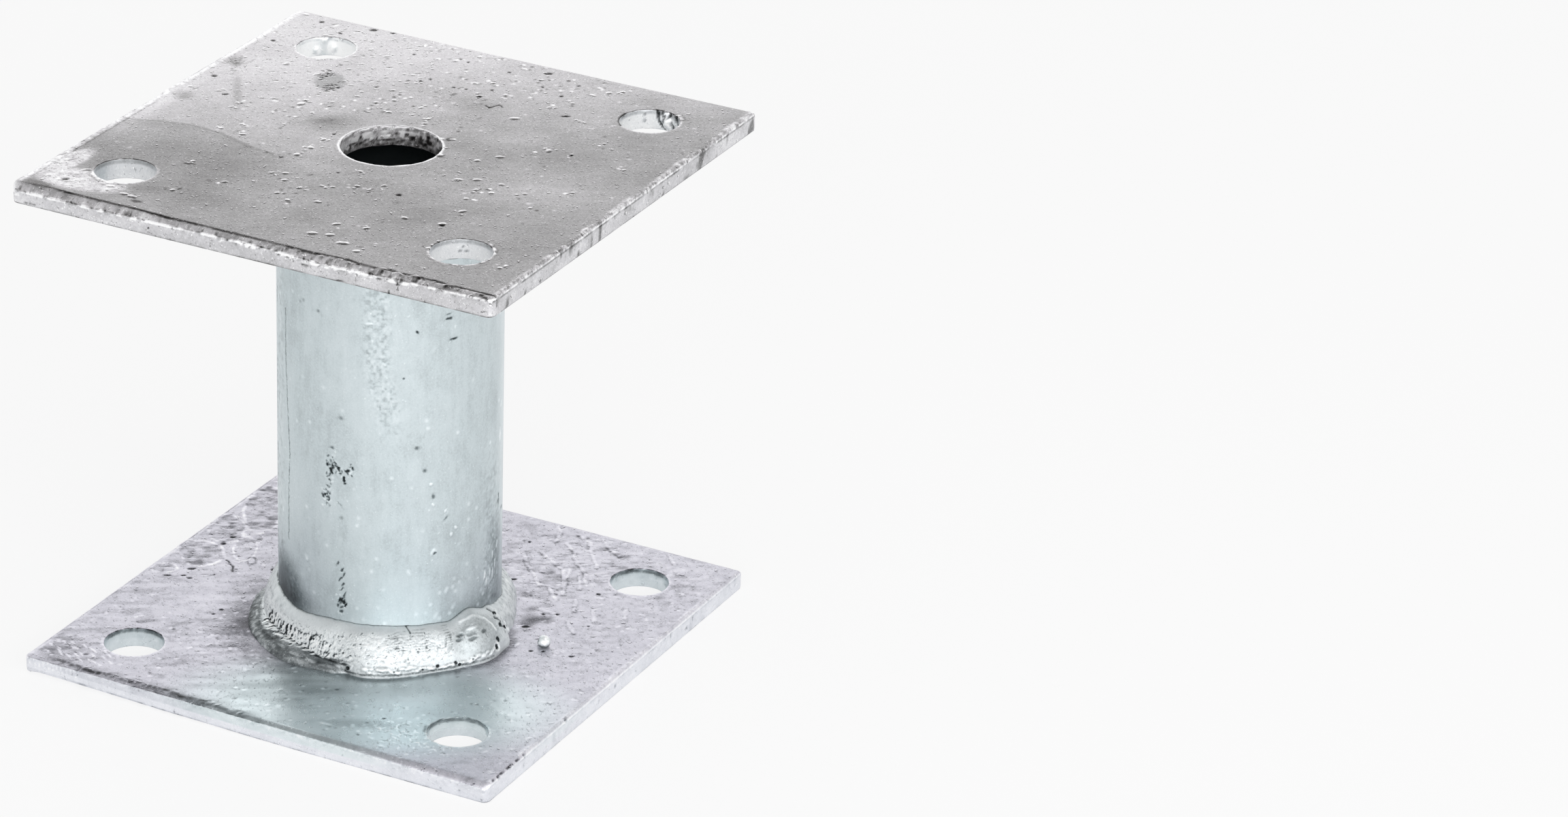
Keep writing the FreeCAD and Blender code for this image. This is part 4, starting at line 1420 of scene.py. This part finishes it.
def dress_base_weld(skin, angles, slopes):
    """The base weld: a crinkled cap that ends in a lump with a crater, a root pass with a rounded
    end below it, and a ragged stretch beyond the lump."""
    passes = (BASE_CAP, BASE_ROOT)

    def place(angle, slope):
        return on_bead(passes, BASE_TOP - FACE_SKIN, 1, angle, slope)

    arc = np.radians(angles) * (TUBE_RADIUS + 3)
    rise = slopes * 0.11
    zero = 0 * arc
    skin.lift += 0.05 * layered(skin.points, 3.0, 401) + 0.02 * layered(skin.points, 0.9, 404)
    seen = smooth(np.abs(angles + 80), 95, 70)
    # Crinkles like short dark worms over the cap's skin
    worms = np.abs(noise(np.column_stack([arc, rise / 0.42, zero]), 1.0, 410))
    fine_worms = np.abs(noise(np.column_stack([arc / 0.55, rise / 0.3, zero + 5]), 1.0, 411))
    crinkle = smooth(worms, 0.16, 0.02) + 0.7 * smooth(fine_worms, 0.14, 0.02)
    zone = smooth(slopes, 22, 34) * smooth(slopes, 80, 68)
    zone *= 0.35 + 0.65 * seen
    zone *= 1 - 0.8 * smooth(np.abs(angles + 17), 19, 13)
    left_part = smooth(angles, -74, -102)
    skin.tone -= (0.20 + 0.14 * left_part) * zone * crinkle
    skin.lift -= 0.05 * zone * crinkle
    rng = np.random.default_rng(412)
    for _ in range(460):
        angle = rng.uniform(-134, -36)
        bold = float(smooth(angle, -68, -98))
        size = (0.45 + 0.25 * bold) * rng.uniform(0.6, 1.4)
        skin.drop(
            place(angle, rng.uniform(24, 76 - 14 * bold)), size * rng.uniform(1, 2.2), size,
            rng.uniform(0, 180), lift=-0.035, light=0.3 + 0.45 * bold, dark=0.25 + 0.38 * bold
        )
    skin.tone += (0.12 + 0.12 * left_part) * zone
    # Painted highlight on the front of the cap
    skin.tone += 0.14 * smooth(np.hypot((angles + 67) / 10, (slopes - 62) / 24), 1.0, 0.3)
    # The smooth shoulder under the crown, and the lump
    skin.tone += 0.08 * smooth(slopes, 72, 82) * smooth(slopes, 89, 86) * seen
    skin.sheen += 0.6 * smooth(slopes, 74, 82)
    lump = smooth(np.hypot((angles + 17) / 17, (slopes - 48) / 40), 1.0, 0.7)
    skin.sheen += 0.5 * lump
    skin.lift += 0.16 * smooth(np.hypot((angles + 17) / 14, (slopes - 52) / 34), 1.0, 0.2)
    # Ripples that fan out towards the lump
    for k in range(9):
        start = 40 + 4.2 * k
        run = [
            place(-70 + 1.2 * k, start), place(-56, start + 6), place(-44, start + 9),
            place(-31, min(start + 11, 84))
        ]
        skin.line(run, 0.28, lift=-0.05, tone=-0.20)
    for angle, slope, length, turn in (
        (-38, 50, 2.6, 40), (-34, 58, 3.2, 55), (-31, 66, 2.4, 60), (-33, 44, 2.6, 20)
    ):
        skin.spot(place(angle, slope), length, 0.6, angle + 90 + turn, tall=2.2, lift=-0.07, tone=-0.16)
    for angle, slope, length in ((-26.5, 62, 2.4), (-15.5, 52, 1.8), (-22, 48, 3.2), (-28, 55, 1.6)):
        skin.spot(place(angle, slope), length, 1.0, angle + 90, tall=0.9, lift=-0.12, tone=-0.22)
    skin.spot(place(-21, 64), 4.2, 1.2, 69, tall=0.8, lift=0.10, tone=0.20, foot=0.05)
    skin.spot(place(-21.5, 56), 3.2, 1.6, 69, tall=1.1, lift=-0.10, tone=-0.12)
    skin.tone -= 0.10 * lump
    rim = [place(angle, slope) for angle, slope in ((-24, 80), (-17, 78), (-11, 70), (-8, 58), (-7, 46))]
    skin.line(rim, 0.9, lift=0.10, tone=0.16)
    skin.line(rim, 0.35, tone=0.3)
    skin.drop(place(-9, 27), 1.5, 1.1, 80, lift=-0.2, light=0.7, dark=1.2)
    skin.line([place(-51.5, 88), place(-50.5, 83), place(-50, 78)], 0.5, lift=-0.1, tone=-0.4)
    # Along the toe: beads of zinc, with dark pits between them
    rng = np.random.default_rng(430)
    for angle in np.arange(-70, -11, 1.7):
        spot = place(angle + rng.uniform(-0.8, 0.8), rng.uniform(9, 18))
        size = rng.uniform(0.7, 1.2)
        skin.spot(spot, size * 1.5, size, angle + 90, lift=0.16, tone=0.24, foot=0.06)
    for angle, slope, size in (
        (-39.5, 13, 0.9), (-31.5, 13, 1.0), (-30, 8, 0.8), (-46, 11, 0.6), (-24, 12, 0.6), (-58, 12, 0.5)
    ):
        skin.spot(place(angle, slope), size, size, 0, lift=-0.2, tone=-0.7)
    skin.spot(place(-10.5, 16), 1.7, 1.2, 80, tall=1.6, lift=-0.45, tone=-0.85, foot=-0.3)
    # Painted shade along the toe, where the weld meets the plate
    skin.line([place(angle, 5.5) for angle in np.arange(-78, -10, 4)], 0.6, tone=-0.22)
    # The root pass: wavy skin, its rounded end and the crease above it
    skin.line([
        place(angle, slope) for angle, slope in (
            (-150, 36), (-132, 36), (-115, 36), (-103, 30), (-92, 22), (-84, 19), (-78, 18)
        )
    ], 0.7, lift=-0.10, tone=-0.22)
    for angle, slope in (
        (-143, 18), (-132, 22), (-120, 20), (-110, 16), (-101, 14), (-93, 12), (-86, 10), (-80, 12)
    ):
        skin.spot(place(angle, slope), 3.6, 1.0, angle + 92, tall=0.9, lift=0.08, tone=0.10, foot=0.05)
    skin.spot(place(-77, 12), 1.7, 0.8, 40, lift=-0.25, tone=-0.8)
    skin.line(
        [place(-81, 21), place(-77, 22), place(-75, 18), place(-75.5, 12)], 0.5, lift=0.08, tone=0.25
    )
    root = smooth(slopes, 30, 22) * smooth(angles, -72, -80) * seen
    ridges = layered(
        np.column_stack([arc / 4.2, rise / 0.8 + 0.25 * noise(skin.points, 2.2, 416), zero]), 1.0, 417, 2
    )
    skin.tone += root * (0.17 * ridges + 0.10 * layered(skin.points, 0.7, 415, 2) - 0.24)
    skin.lift += root * 0.09 * ridges
    left_end = smooth(angles, -98, -135) * seen
    skin.tone += left_end * 0.24 * layered(skin.points, 0.7, 418, 2)
    # The ragged stretch right of the lump
    ragged = smooth(angles, -8, 2) * smooth(angles, 75, 48)
    skin.lift += ragged * 0.17 * layered(skin.points, 1.5, 450, 3)
    skin.tone += ragged * (0.26 * layered(skin.points, 0.9, 455, 2) + 0.04)
    crack = [
        place(a, s) for a,
        s in ((-3.5, 84), (-1.5, 74), (-3.2, 66), (-0.5, 57), (-2.6, 48), (0.5, 40), (-1, 31))
    ]
    skin.line(crack, 0.7, lift=-0.15, tone=-0.3)
    for a, s in ((-1.5, 72), (-2.6, 50), (0.5, 40)):
        skin.drop(place(a, s), 1.3, 0.8, 70, lift=-0.2, light=0.5, dark=0.9)
    for a, s in ((1, 74), (3, 60), (5, 46), (2.5, 30), (7, 20), (9.5, 10)):
        skin.spot(place(a, s), 0.8, 0.8, 80, tall=2.0, lift=0.25, tone=0.28, foot=0.06)
    # Painted shade where the crown meets the tube, and an uneven crown there
    skin.tone -= smooth(slopes, 87.5, 89.7) * 0.3
    skin.lift += smooth(slopes, 84, 90) * 0.06 * noise(np.column_stack([arc, zero, zero]), 1.2, 460)
    # The far side is a plain rippled bead
    far_side = 1 - smooth(np.abs(angles + 65), 110, 90)
    bend = arc / 1.25 + 0.9 * np.sin(np.radians(slopes * 2)) + 0.3 * noise(skin.points, 2.5, 470)
    skin.lift += far_side * 0.07 * np.sin(2 * np.pi * bend / 1.0)
    skin.tone += far_side * 0.07 * np.sin(2 * np.pi * bend / 1.0 + 0.8)


def dress_top_weld(skin, angles, slopes):
    """The upper weld: even ripples, one for each drop of metal."""
    arc = np.radians(angles) * (TUBE_RADIUS + 2)
    bend = arc / 1.35 + 0.8 * np.sin(np.radians(slopes * 2)) + 0.3 * noise(skin.points, 2.5, 501)
    ripple = np.sin(2 * np.pi * bend)
    middle = smooth(slopes, 4, 20) * smooth(slopes, 88, 72)
    skin.lift += middle * 0.08 * ripple + 0.04 * layered(skin.points, 2.4, 505)
    skin.tone += middle * 0.09 * np.sin(2 * np.pi * bend + 0.8) + 0.08 * layered(skin.points, 1.2, 508)
    # Painted shade where the weld meets the tube and where it meets the plate
    skin.tone -= 0.25 * smooth(slopes, 87, 90) + 0.2 * smooth(slopes, 3, 0)
    rng = np.random.default_rng(510)
    for _ in range(60):
        spot = on_bead((TOP_PASS,), TOP_UNDERSIDE, -1, rng.uniform(-180, 180), rng.uniform(3, 87))
        skin.spot(spot, rng.uniform(0.5, 1.3), lift=0.10, tone=0.2, foot=0.05)


# Floor, light and camera

SOFT_LIGHT = 0.55
WALL_LIGHT = 0.95
CEILING_LIGHT = 0.2
FLOOR_HALF = 3.0
FLOOR_COLOUR = (0.86, 0.86, 0.86, 1)
# How much of its own white the floor shows to the camera and to metal, beside its shadow
FLOOR_WHITE = 0.8
# Each lamp: the angle round the object that it stands at, its angle above the floor, its distance,
# width and height in metres, and its power in watts
LAMPS = {
    "key": (-45, 52, 1.0, 1.25, 1.25, 2.6),
    "low": (-48, 17, 1.2, 1.7, 0.68, 9.0),
    "back": (118, 30, 1.5, 1.6, 1.0, 4.0),
}


def stage_floor():
    """A pale floor that keeps the object's shadow and shows white to the camera and to metal."""
    half = FLOOR_HALF
    mesh = bpy.data.meshes.new("floor")
    corners = [(-half, -half, 0), (half, -half, 0), (half, half, 0), (-half, half, 0)]
    mesh.from_pydata(corners, [], [(0, 1, 2, 3)])
    floor = bpy.data.objects.new("floor", mesh)
    bpy.context.collection.objects.link(floor)
    material = bpy.data.materials.new("pale_floor")
    material.use_nodes = True
    tree = material.node_tree
    tree.nodes.clear()
    path = add(tree, "ShaderNodeLightPath")
    seen = maths(tree, "MAXIMUM", path.outputs["Is Camera Ray"], path.outputs["Is Glossy Ray"])
    seen = maths(tree, "MAXIMUM", seen, path.outputs["Is Transmission Ray"])
    share = maths(tree, "MULTIPLY", seen, FLOOR_WHITE)
    matt = add(tree, "ShaderNodeBsdfDiffuse", {"Color": FLOOR_COLOUR}).outputs[0]
    white = add(tree, "ShaderNodeEmission", {"Color": (1, 1, 1, 1), "Strength": 1.0}).outputs[0]
    mix = add(tree, "ShaderNodeMixShader", {0: share, 1: matt, 2: white}).outputs[0]
    add(tree, "ShaderNodeOutputMaterial", {"Surface": mix})
    mesh.materials.append(material)


def studio_world():
    """Soft light from all round, bright walls and a dark ceiling in the metal, and a white background."""
    world = bpy.data.worlds.new("studio")
    bpy.context.scene.world = world
    world.use_nodes = True
    tree = world.node_tree
    tree.nodes.clear()
    way = add(tree, "ShaderNodeTexCoord").outputs["Generated"]
    upward = add(tree, "ShaderNodeSeparateXYZ", {0: way}).outputs["Z"]
    walls = maths(
        tree, "SUBTRACT", WALL_LIGHT, eased(tree, upward, 0.35, 0.85, WALL_LIGHT - CEILING_LIGHT)
    )
    path = add(tree, "ShaderNodeLightPath")
    light = maths(tree, "SUBTRACT", walls, SOFT_LIGHT)
    light = maths(tree, "MULTIPLY_ADD", light, path.outputs["Is Glossy Ray"], SOFT_LIGHT)
    light = maths(tree, "MAXIMUM", light, path.outputs["Is Camera Ray"])
    light = maths(tree, "MAXIMUM", light, path.outputs["Is Transmission Ray"])
    white = add(tree, "ShaderNodeBackground", {"Color": (1, 1, 1, 1), "Strength": light}).outputs[0]
    add(tree, "ShaderNodeOutputWorld", {"Surface": white})


def area_lamp(name, azimuth, elevation, distance, width, height, watts):
    """A soft box that faces the object, and that the camera doesn't see."""
    way = Vector((
        math.cos(math.radians(azimuth)) * math.cos(math.radians(elevation)),
        math.sin(math.radians(azimuth)) * math.cos(math.radians(elevation)),
        math.sin(math.radians(elevation)),
    ))
    lamp = bpy.data.lights.new(name, "AREA")
    lamp.shape = "RECTANGLE"
    lamp.size = width
    lamp.size_y = height
    lamp.energy = watts
    holder = bpy.data.objects.new(name, lamp)
    bpy.context.collection.objects.link(holder)
    holder.location = way * distance + Vector((0, 0, TOP_FACE * MM / 2))
    holder.rotation_euler = way.to_track_quat("Z", "Y").to_euler()
    holder.visible_camera = False


def photo_camera():
    """The camera, at the photograph's place, angle and lens."""
    azimuth = math.radians(CAMERA_AZIMUTH)
    elevation = math.radians(CAMERA_ELEVATION)
    roll = math.radians(CAMERA_ROLL)
    back = Vector(
        (
            math.sin(azimuth) * math.cos(elevation), -math.cos(azimuth) * math.cos(elevation),
            math.sin(elevation)
        )
    )
    level = Vector((math.cos(azimuth), math.sin(azimuth), 0))
    upright = back.cross(level)
    right = level * math.cos(roll) + upright * math.sin(roll)
    up = upright * math.cos(roll) - level * math.sin(roll)
    lens = bpy.data.cameras.new("camera")
    lens.sensor_width = SENSOR_WIDTH
    lens.lens = FOCAL_PIXELS / IMAGE_WIDTH * SENSOR_WIDTH
    lens.clip_start = 0.01
    holder = bpy.data.objects.new("camera", lens)
    bpy.context.collection.objects.link(holder)
    turn = Matrix((right, up, back)).transposed().to_4x4()
    holder.matrix_world = Matrix.Translation(Vector(CAMERA_PLACE) * MM) @ turn
    bpy.context.scene.camera = holder


# The scene

bpy.context.scene.view_settings.view_transform = "Standard"
photo_camera()
studio_world()
for lamp_name, lamp_settings in LAMPS.items():
    area_lamp(lamp_name, *lamp_settings)
stage_floor()

TOP_ZINC = zinc(
    "top_plate_zinc",
    rough=((34, 32, 32), (100, 98, 98), (163, 162, 163), (214, 212, 215), (252, 252, 253)),
    smooth_zinc=((40, 42, 43), (100, 103, 105), (160, 163, 165), (208, 211, 214), (252, 253, 253)),
    roughness=(0.5, 0.38), mottle=0.26, grain=0.36, flecks=0.24, pits=0.16, streaks=0.12, drops=0.4,
)
BASE_ZINC = zinc(
    "base_plate_zinc",
    rough=((36, 36, 40), (120, 120, 127), (208, 207, 216), (234, 233, 240), (252, 252, 254)),
    smooth_zinc=((50, 56, 58), (124, 134, 137), (198, 209, 212), (224, 232, 235), (250, 252, 253)),
    roughness=(0.5, 0.3), mottle=0.14, grain=0.26, flecks=0.2, pits=0.08, streaks=0.12, drops=0.25,
)
TUBE_ZINC = zinc(
    "tube_zinc",
    rough=((40, 46, 48), (124, 134, 137), (203, 213, 216), (234, 241, 244), (252, 254, 255)),
    smooth_zinc=((40, 46, 48), (124, 134, 137), (203, 213, 216), (234, 241, 244), (252, 254, 255)),
    roughness=(0.45, 0.4), mottle=0.12, grain=0.16, flecks=0.10, pits=0.05, streaks=0.12,
    drag=(0.8, 0.8, 0.15), drops=0.0, lumps=0.6, bump=0.012,
)
WELD_ZINC = zinc(
    "weld_zinc",
    rough=((36, 40, 42), (122, 128, 130), (210, 215, 217), (236, 240, 241), (252, 254, 254)),
    smooth_zinc=((40, 46, 48), (122, 130, 132), (204, 211, 213), (230, 235, 237), (250, 252, 253)),
    roughness=(0.55, 0.46), mottle=0.16, grain=0.32, flecks=0.14, pits=0.1, streaks=0.1,
    drag=(0.8, 0.8, 0.8), drops=0.15, lumps=1.5, bump=0.03,
)

# Where the meshes are finer, for the marks there: (x, y, half length, half width), and on the tube the
# angle and height with them
BOLT_FINE = 1.6
CENTRE_FINE = 1.4
TOP_FINE = [(x, y, across, across) for x, y, across in TOP_DROPS]
TOP_FINE += [(x, y, length, length) for x, y, length, *_ in (*TOP_DASHES, *TOP_PITS)]
TOP_FINE += [(0, -PLATE_HALF, 90, 3.2), (PLATE_HALF, 0, 2.4, 90), (-PLATE_HALF, 0, 2.6, 90)]
TOP_FINE += [(-41, -42, 11, 7), (-47, -37, 4, 9), (-25.6, 21, 5, 5), (-44, 19, 4, 4), (6.5, 26, 2.5, 2)]
TOP_FINE += [(-29, 30, 19, 18), (-39, 8, 9, 10), (-30, -12, 16, 2)]
TOP_FINE += [
    (x, y, BOLT_RADIUS + BOLT_FINE, BOLT_RADIUS + BOLT_FINE) for x, y in (LEFT, BACK, FRONT, RIGHT)
]
TOP_FINE += [(0, 0, CENTRE_RADIUS + CENTRE_FINE, CENTRE_RADIUS + CENTRE_FINE)]
BASE_FINE = [(x, y, length, length) for x, y, length, _ in BASE_PITS]
BASE_FINE += [(x, y, 1.6, 1.6) for vein in BASE_VEINS for x, y in vein]
BASE_FINE += [(0, -PLATE_HALF, 90, 2.6), (PLATE_HALF, 0, 2.4, 90), (-PLATE_HALF, 0, 2.0, 90)]
BASE_FINE += [(-42, 12, 9, 22), (30, -41, 10, 5), (27, 3, 5, 6), (-41, -44, 7, 3.5), (20, 32, 12, 10)]
TUBE_FINE_SPOTS = [
    (-91.5, 40, 4.5, 7), (-82, 42.5, 4, 3), (-84, 19, 3, 6), (-37, 26, 2.5, 2.5), (-64, 68, 6, 16)
]
TUBE_FINE_SPOTS += [
    (-124, 48, 1.2, 27), (-37, 38, 3, 4), (-28, 31.5, 4, 5), (-28, 71.5, 3, 4.5), (4, 19, 5, 5),
    (17, 30, 3, 4), (-46, 71.7, 1, 1)
]

plate_piece("top_plate_skin", TOP_UNDERSIDE, TOP_ZINC, "top_plate", TOP_FINE, top_shape, dress_top)
plate_piece("base_plate_skin", 0.0, BASE_ZINC, "base_plate", BASE_FINE, base_shape, dress_base)
tube_piece(TUBE_ZINC, TUBE_FINE_SPOTS, dress_tube)
weld_piece(
    "base_weld_skin", (BASE_CAP, BASE_ROOT), BASE_TOP - FACE_SKIN, 1, WELD_ZINC, "base_weld",
    dress_base_weld
)
weld_piece("top_weld_skin", (TOP_PASS,), TOP_UNDERSIDE, -1, WELD_ZINC, "top_weld", dress_top_weld)
spatter_piece(WELD_ZINC)
